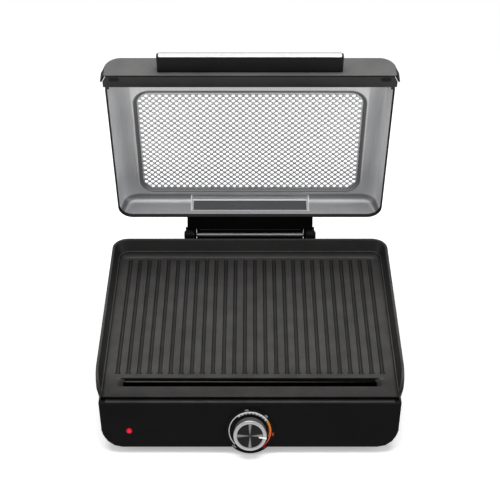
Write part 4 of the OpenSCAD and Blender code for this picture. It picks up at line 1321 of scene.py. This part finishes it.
@dataclass
class Lid:
    """The pressed pan with its perforated window, the fascia, the handle and the bumpers."""

    wall: float = 1.0 * MM
    corner: float = 20 * MM
    draft: float = 3 * MM
    side_draft: float = 4 * MM
    fillet: float = 11 * MM
    side_fillet: float = 24 * MM
    fillet_rise: float = 16 * MM
    fillet_faces: int = 7
    frame_width: float = 333 * MM
    frame_depth: float = 203 * MM
    frame_mid: float = 21.8 * MM
    frame_corner: float = 25 * MM
    frame_steps: tuple[Span, ...] = (
        (0.6 * MM, -0.25 * MM), (0.6 * MM, -0.05 * MM), (0.5 * MM, 0.15 * MM),
        (1.0 * MM, 0.65 * MM), (1.3 * MM, 0.85 * MM), (0.9 * MM, 0.35 * MM),
        (0.8 * MM, 0.1 * MM))
    pitch: float = 9.47 * MM
    hole: float = 5.5 * MM
    sheet: float = 0.5 * MM
    hem: float = 5.4 * MM
    columns: int = 34
    rows: int = 39
    margin: int = 2
    hole_corner: float = 15 * MM
    pocket_half: float = 88 * MM
    pocket_depth: float = 9.6 * MM
    pocket_low: float = 13 * MM
    pocket_reach: float = 30 * MM
    pocket_edge: float = 1.9 * MM
    flange_rear: float = -116.5 * MM
    flange_top: float = 2.05 * MM
    flange_reach: float = 9 * MM
    fascia_round: float = 0.7 * MM
    # how far a face must look to the front or up, and may look aside, to take grey painted light
    fascia_lit: tuple[float, float, float] = (0.6, 0.5, 0.5)
    outside: MouldedPlastic = MouldedPlastic("lid_outside", "lid_sheet", grey(0.010),
                                             roughness=0.45, specular=0.12)

    def __post_init__(self) -> None:
        """Takes the pan's outer sizes, lid closed, from the frame, and mixes its finishes."""
        self.inside = ShadedSheet("lid_inside", "lid_sheet", (0.86, 0.865, 0.875), roughness=0.42,
                                  grain=Grain.UPRIGHT, metallic=0.4, streak=0.05, size=1.2 * MM,
                                  place=self.opened())
        # a brighter copy of the inside without its painted shade: a painted highlight on the
        # pocket's top band and rounded edges
        self.painted_highlight = BrushedSheet("lid_painted_highlight", "lid_sheet", (0.80, 0.805, 0.81),
                                      roughness=0.42, metallic=0.4, streak=0.03, size=1.2 * MM)
        # a darker copy of the inside: painted shade on the window's stepped frame and the pocket's
        # lower band
        self.fold_shade = ShadedSheet("lid_fold_shade", "lid_sheet", (0.30, 0.302, 0.31), roughness=0.45,
                                grain=Grain.UPRIGHT, metallic=0.55, streak=0.05,
                                place=self.opened())
        low, high = self.closed_box("lid_pan")
        self.width = high.x - low.x
        self.rear, self.front = high.y, low.y
        self.high = high.z
        self.low = self.closed_box("lid_fascia")[0].z

    def closed_box(self, node: str) -> tuple[Vector, Vector]:
        """Returns the lowest and highest corner of one of the lid's nodes, lid closed.

        Args:
            node: The node's name.
        """
        shut = self.opened().inverted()
        points = [shut @ v.co for v in frame["nodes"][node].data.vertices]
        return tuple(Vector([pick(p[i] for p in points) for i in range(3)]) for pick in (min, max))

    def opened(self) -> Matrix:
        """Returns the turn from the closed to the open lid."""
        hinge = joint("lid_hinge")
        pin = Vector(hinge["pos_m"])
        angle = -math.radians(max(hinge["range_deg"]))
        return (Matrix.Translation(pin) @ Matrix.Rotation(angle, 4, "X")
                @ Matrix.Translation(-pin))

    def build(self) -> None:
        """Builds the lid's pieces."""
        self.pan()
        self.window()
        self.fascia()
        softened("fascia_flange", "lid", FLANGE_LIT, 0.4 * MM)
        softened("lid_bumpers", "lid", BUMPER_RUBBER, 0.15 * MM)
        softened("lid_handle", "lid", HANDLE_PLASTIC, 0.9 * MM, 3)
        softened("handle_strip", "lid",
                 BrushedSheet("satin_strip", "bright_strip", grey(0.70), roughness=0.3,
                              metallic=0.4, streak=0.04), 0.12 * MM)
        dress(ZINC, "handle_screws")

    def fascia(self) -> None:
        """Builds the fascia, black on its edges, with grey painted light on its front and top."""
        shape = Shape("lid_fascia")
        shape.soften(self.fascia_round, 3, 35)
        shut = self.opened().to_3x3().inverted()
        front, top, side = self.fascia_lit
        for f in shape.bm.faces:
            n = shut @ f.normal
            f.material_index = 0 if (-n.y > front or n.z > top) and abs(n.x) < side else 1
        shape.piece("lid_fascia_fine", "lid", FASCIA_LIT, EDGE_PLASTIC, replaces=["lid_fascia"],
                    smooth=40)

    def pan(self) -> None:
        """Builds the pan: pressed walls, wide shoulders, the window's stepped frame, the pocket."""
        half = self.width / 2 - self.wall
        rear, front, top = self.rear - self.wall, self.front + self.wall, self.high - self.wall
        shape = Shape()
        bm = shape.bm
        face = shape.outline(2 * half, rear - front, (self.corner,) * 2, 8,
                             (0, (rear + front) / 2, self.low))
        side = half - self.side_draft
        shape.step(face, self.draft, top - self.low - self.fillet_rise, side)
        before = (1.0, 0.0)
        for i in range(1, self.fillet_faces + 1):
            a = math.pi / 2 * i / self.fillet_faces
            now = (math.cos(a), math.sin(a))
            shape.step(face, self.fillet * (before[0] - now[0]),
                       self.fillet_rise * (now[1] - before[1]),
                       side - self.side_fillet * (1 - now[0]))
            before = now
        rim = list(face.edges)
        bmesh.ops.delete(bm, geom=[face], context="FACES_ONLY")
        window = shape.outline(self.frame_width, self.frame_depth, (self.frame_corner,) * 2, 8,
                               (0, self.frame_mid, top))
        bmesh.ops.bridge_loops(bm, edges=rim + list(window.edges))
        flat = set(bm.faces)
        for inset, rise in self.frame_steps:
            shape.step(window, inset, rise)
        # the frame's steps take the darker copy: painted shade
        for f in set(bm.faces) - flat:
            f.material_index = PanSlot.FOLD_SHADE
        bmesh.ops.delete(bm, geom=[window], context="FACES_ONLY")
        self.pocket(shape, rear, top)
        brim = self.low + self.hem
        shape.split(bm.faces, (0, 0, brim), (0, 0, 1))
        for f in bm.faces:
            if f.calc_center_median().z < brim:
                f.material_index = PanSlot.HEM
        self.seat(shape)
        shape.move(self.opened())
        shape.piece("lid_pan_pressed", "lid", self.inside, self.outside, self.fold_shade, self.outside,
                    self.painted_highlight, self.outside, replaces=["lid_pan"], smooth=50,
                    solid=self.wall)

    def seat(self, shape: Shape) -> None:
        """Cuts the front wall's foot away where the fascia's flange lies.

        Args:
            shape: The pan, lid closed.
        """
        y, z = self.flange_rear, self.low + self.flange_top

        def faces(before: float, below: float) -> list[BMFace]:
            """Returns the faces whose middles lie before one depth and below one height."""
            middles = ((f, f.calc_center_median()) for f in shape.bm.faces)
            return [f for f, c in middles if c.y < before and c.z < below]

        shape.split(faces(math.inf, z + self.flange_reach), (0, y, z), (0, 1, 0))
        shape.split(faces(y, math.inf), (0, y, z), (0, 0, 1))
        bmesh.ops.delete(shape.bm, geom=faces(y, z), context="FACES")

    def pocket(self, shape: Shape, rear: float, top: float) -> None:
        """Presses the square pocket for the hinge bracket into the pan's rear shoulder.

        Args:
            shape: The pan, closed and still one sheet.
            rear: The inner face of the rear wall at the rim.
            top: The inner face of the pan's flat.
        """
        bm, half = shape.bm, self.pocket_half
        low, inner = self.low + self.pocket_low, rear - self.pocket_depth

        def within(co: Vector, slack: float = SLACK) -> bool:
            """Returns whether a place lies in the pocket, or nearer to it than a slack."""
            return abs(co.x) < half + slack and co.y > inner - slack and co.z > low - slack

        def bounding(edge: BMEdge) -> bool:
            """Returns whether an edge lies on the pocket."""
            return all(within(v.co) for v in edge.verts)

        def draw(edge: BMEdge, y: float, z: float) -> BMEdge:
            """Draws a long edge out to a new place.

            Args:
                edge: The edge.
                y: The new edge's place to the back.
                z: The new edge's height.

            Returns:
                The new edge.
            """
            made = bmesh.ops.extrude_edge_only(bm, edges=[edge])["geom"]
            for v in (g for g in made if isinstance(g, BMVert)):
                v.co.y, v.co.z = y, z
            return next(g for g in made if isinstance(g, BMEdge)
                        and abs(g.verts[0].co.x - g.verts[1].co.x) > half)

        for place, normal, wide in (((-half, 0, 0), (1, 0, 0), self.width),
                                    ((half, 0, 0), (1, 0, 0), self.width),
                                    ((0, 0, low), (0, 0, 1), half + SLACK),
                                    ((0, inner, 0), (0, 1, 0), half + SLACK)):
            shape.split([f for f in bm.faces
                         if f.calc_center_median().y > inner - self.pocket_reach
                         and all(abs(v.co.x) < wide for v in f.verts)], place, normal)
        bmesh.ops.delete(bm, context="FACES", geom=[
            f for f in bm.faces if within(f.calc_center_median(), 0)])
        level = sorted((e for e in bm.edges if e.is_boundary and e.calc_length() > half
                        and bounding(e)), key=lambda e: e.verts[0].co.z)
        below = draw(draw(level[0], rear, low), rear, top)
        above = draw(level[-1], inner, top)
        bmesh.ops.bridge_loops(bm, edges=[above, below])
        bmesh.ops.remove_doubles(bm, verts=bm.verts, dist=2 * GLIDE)
        bmesh.ops.holes_fill(bm, sides=0, edges=[
            e for e in bm.edges if e.is_boundary and bounding(e)])
        bmesh.ops.recalc_face_normals(bm, faces=bm.faces)
        lid = max(bm.faces, key=lambda f: f.calc_area() * (f.calc_center_median().z > top - SLACK))
        if lid.normal.z > 0:
            bmesh.ops.reverse_faces(bm, faces=bm.faces)
        corner = [e for e in bm.edges if len(e.link_faces) == 2 and bounding(e)
                  and e.calc_face_angle(0) > math.radians(20)]
        # the pocket's top band and rounded edges take the painted highlight; its lower band takes
        # the painted shade
        for f in bm.faces:
            c = f.calc_center_median()
            if within(c) and c.y > inner and c.z > low + SLACK:
                f.material_index = PanSlot.PAINTED_HIGHLIGHT if c.z > top - SLACK else PanSlot.FOLD_SHADE
        shape.bevel(corner, self.pocket_edge, 3, material=PanSlot.PAINTED_HIGHLIGHT)

    def cell(self, holed: bool) -> bpy.types.Mesh:
        """Returns one diamond of the perforated sheet, round the origin.

        Args:
            holed: Whether it has a hole.
        """
        bm = bmesh.new()
        rim = bmesh.ops.create_circle(bm, segments=8, radius=self.pitch / 2,
                                      cap_ends=not holed)["verts"]
        mids = [v for v in rim if min(abs(v.co.x), abs(v.co.y)) > SLACK]
        bmesh.ops.scale(bm, vec=(math.sqrt(0.5), math.sqrt(0.5), 1), verts=mids)
        if holed:
            hole = bmesh.ops.create_circle(bm, segments=8, radius=self.hole / 2)["verts"]
            bmesh.ops.bridge_loops(bm, edges=[
                *{e for v in rim for e in v.link_edges}, *{e for v in hole for e in v.link_edges}])
        mesh = bpy.data.meshes.new("cell")
        bm.to_mesh(mesh)
        bm.free()
        return mesh

    def window(self) -> None:
        """Builds the perforated sheet: staggered round holes inside a rounded outline."""
        inset, rise = (sum(step[i] for step in self.frame_steps) for i in (0, 1))
        mid, z = self.frame_mid, self.high - self.wall + rise
        half_x, half_y = (self.columns - 1) / 2 * self.pitch, (self.rows - 1) / 4 * self.pitch
        places: dict[bool, list[tuple[float, float]]] = {True: [], False: []}
        for row in range(-self.margin, self.rows + self.margin):
            y = -half_y + row * self.pitch / 2
            odd = row % 2
            for col in range(-self.margin, self.columns + self.margin - odd):
                x = -half_x + (col + odd / 2) * self.pitch
                places[self.holed(x, y, half_x, half_y)].append((x, y + mid))
        shape = Shape()
        bm = shape.bm
        for holed, middles in places.items():
            mesh = self.cell(holed)
            for x, y in middles:
                start = len(bm.verts)
                bm.from_mesh(mesh)
                bm.verts.ensure_lookup_table()
                bmesh.ops.translate(bm, vec=(x, y, z), verts=bm.verts[start:])
            bpy.data.meshes.remove(mesh)
        bmesh.ops.remove_doubles(bm, verts=bm.verts, dist=SLACK)
        guide = Shape()
        border = guide.outline(self.frame_width - 2 * inset, self.frame_depth - 2 * inset,
                               (self.frame_corner - inset,) * 2, 5, (0, mid, z))
        for edge in border.edges:
            a, b = (v.co for v in edge.verts)
            out = (b - a).cross(Vector((0, 0, 1)))
            if out.dot((a + b) / 2 - Vector((0, mid, z))) < 0:
                out.negate()
            bmesh.ops.bisect_plane(bm, geom=[*bm.verts, *bm.edges, *bm.faces], plane_co=a,
                                   plane_no=out, clear_outer=True)
        guide.bm.free()
        shape.look((0, 0, -1))
        shape.move(self.opened())
        shape.piece("lid_window_sheet", "lid", self.inside, self.outside,
                    replaces=["lid_window"], solid=self.sheet)

    def holed(self, x: float, y: float, half_x: float, half_y: float) -> bool:
        """Returns whether a lattice point lies inside the window's rounded outline.

        Args:
            x: The point's place across, from the window's middle.
            y: The point's place to the back, from the window's middle.
            half_x: The half width of the field of holes.
            half_y: The half depth of the field of holes.
        """
        over_x = abs(x) - half_x - self.pitch / 4
        over_y = abs(y) - half_y - self.pitch / 4
        r = self.hole_corner
        return max(over_x, over_y) <= 0 and (
            min(over_x, over_y) < -r or math.hypot(over_x + r, over_y + r) < r)


# ---------------------------------------------------------------- hinge


@dataclass
class Hinge:
    """The ears on the base, the rod, and the bracket on the lid."""

    paint: MouldedPlastic = MouldedPlastic("black_paint", "bracket_paint",
                                           (0.0028, 0.0028, 0.0032), specular=0.0)
    ear_round: float = 0.5 * MM
    web: float = 2.6 * MM
    web_round: float = 0.2 * MM
    web_across: tuple[Span, ...] = ((76.2 * MM, 81.1 * MM), (84.7 * MM, 97.8 * MM))
    web_height: Span = (76 * MM, 99.8 * MM)
    rod_steel: BrushedSheet = BrushedSheet("rod_steel", "zinc_steel", grey(0.16),
                                           roughness=0.5)

    def build(self) -> None:
        """Builds the bracket and the ears, and dresses the rod."""
        self.ears()
        softened("lid_bracket", "lid", self.paint, 0.4 * MM, angle=35)
        dress(ZINC, "hinge_bracket_screws", "lid_bracket_screws")
        dress(self.rod_steel, "hinge_rod")
        dress(BLACK_NYLON, "hinge_bushes", "rod_caps")

    def ears(self) -> None:
        """Builds the bracket on the base, with a web behind each ear and beside each lug."""
        shape = Shape("hinge_bracket")
        shape.soften(self.ear_round, 2, 35)
        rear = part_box("hinge_bracket")[1].y
        low, high = self.web_height
        for side in (-1, 1):
            for near, far in self.web_across:
                shape.slab((far - near, self.web, high - low),
                           (side * (near + far) / 2, rear - self.web / 2, (low + high) / 2),
                           self.web_round)
        shape.piece("hinge_bracket_fine", "base", BLACK_NYLON, replaces=["hinge_bracket"])


# ---------------------------------------------------------------- studio


@dataclass
class Studio:
    """The floor, the soft lamps, the pale surroundings and the camera."""

    floor: float = 8.0
    ambient: float = 0.17
    lift: float = 0.36
    fade: Span = (0.45, 1.3)
    matt: Span = (0.54, 0.56)
    pale: Span = (0.96, 0.98)
    aim: float = 0.12
    camera_place: tuple[float, float, float] = (0.0, -1.3711, 1.25)
    camera_tilt: float = 52.3
    lens: float = 91.08
    sensor: float = 36
    sight: float = 50
    # each lamp's name, place, size and power
    lamps: tuple[tuple[str, Sequence[float], Span, float], ...] = (
        ("lamp_over", (0.0, -0.1, 1.8), (1.6, 1.0), 33.0),
        ("lamp_left", (-1.5, -0.6, 0.9), (0.9, 1.3), 6.5),
        ("lamp_right", (1.5, -0.6, 0.9), (0.9, 1.3), 6.5),
    )

    def build(self) -> None:
        """Builds the studio."""
        self.camera()
        self.ground()
        self.surroundings()
        for name, place, size, power in self.lamps:
            self.lamp(name, place, size, power)

    def camera(self) -> None:
        """Places the camera in front of and above the grill."""
        data = bpy.data.cameras.new("camera")
        data.lens = self.lens
        data.sensor_width = self.sensor
        data.clip_end = self.sight
        camera = show("camera", data)
        camera.location = self.camera_place
        camera.rotation_euler = (math.radians(self.camera_tilt), 0, 0)
        bpy.context.scene.camera = camera

    def ground(self) -> None:
        """Lays the pale floor, which keeps a soft shadow."""
        shape = Shape()
        bmesh.ops.create_grid(shape.bm, x_segments=1, y_segments=1, size=self.floor / 2)
        mesh = bpy.data.meshes.new("floor")
        shape.bm.to_mesh(mesh)
        shape.bm.free()
        g = Graph("floor_paper")
        fibre = g.noise(3 * MM, 3).even()
        matt, pale = (g.add("ShaderNodeBsdfDiffuse", None, {
            "Color": g.tint(fibre, grey(low), grey(high))}) for low, high in (self.matt, self.pale))
        glow = g.add("ShaderNodeEmission", None, {"Color": WHITE, "Strength": self.lift})
        near = g.add("ShaderNodeAddShader", None, {0: pale, 1: glow})
        white = g.add("ShaderNodeEmission", None, {"Color": WHITE, "Strength": 1.0})
        away = g.place().length().spread(*self.fade)
        shown = g.add("ShaderNodeMixShader", None, {0: away, 1: near, 2: white})
        g.close(g.add("ShaderNodeMixShader", None, {0: self.seen(g), 1: matt, 2: shown}))
        mesh.materials.append(g.owner)
        show("floor", mesh)

    @staticmethod
    def seen(g: Graph) -> Value:
        """Returns 1 for the rays that show the surroundings, and 0 for the rest.

        Args:
            g: The graph that it is added to.
        """
        rays = g.add("ShaderNodeLightPath", output="Is Camera Ray")
        shown = rays + rays.out("Is Glossy Ray") + rays.out("Is Transmission Ray")
        return g.add("ShaderNodeClamp", None, {"Value": shown})

    def surroundings(self) -> None:
        """Makes the world white where it is seen, and dimmer as a light."""
        bpy.context.scene.world = bpy.data.worlds.new("studio")
        g = Graph("studio", bpy.context.scene.world)
        strength = self.seen(g) * (1.0 - self.ambient) + self.ambient
        g.close(g.add("ShaderNodeBackground", None, {"Color": WHITE, "Strength": strength}),
                "ShaderNodeOutputWorld")

    def lamp(self, name: str, place: Sequence[float], size: Span, power: float) -> None:
        """Hangs one soft lamp that faces the grill.

        Args:
            name: The lamp's name.
            place: Where it hangs.
            size: Its width and height.
            power: Its power in watts.
        """
        data = bpy.data.lights.new(name, "AREA")
        data.shape = "RECTANGLE"
        data.size, data.size_y = size
        data.energy = power
        lamp = show(name, data)
        lamp.location = place
        way = Vector((0, 0, self.aim)) - Vector(place)
        lamp.rotation_euler = way.to_track_quat("-Z", "Y").to_euler()


def main() -> None:
    """Builds the studio and the grill."""
    logging.basicConfig(level=logging.INFO, format="%(name)s: %(message)s")
    bpy.context.scene.view_settings.view_transform = "Standard"
    for assembly in (Studio(), CookingPlate(), Base(), Heater(), Dial(), Lid(), Hinge()):
        LOG.info("building %s", type(assembly).__name__)
        assembly.build()
    bpy.context.view_layer.update()


if __name__ == "__main__":
    main()
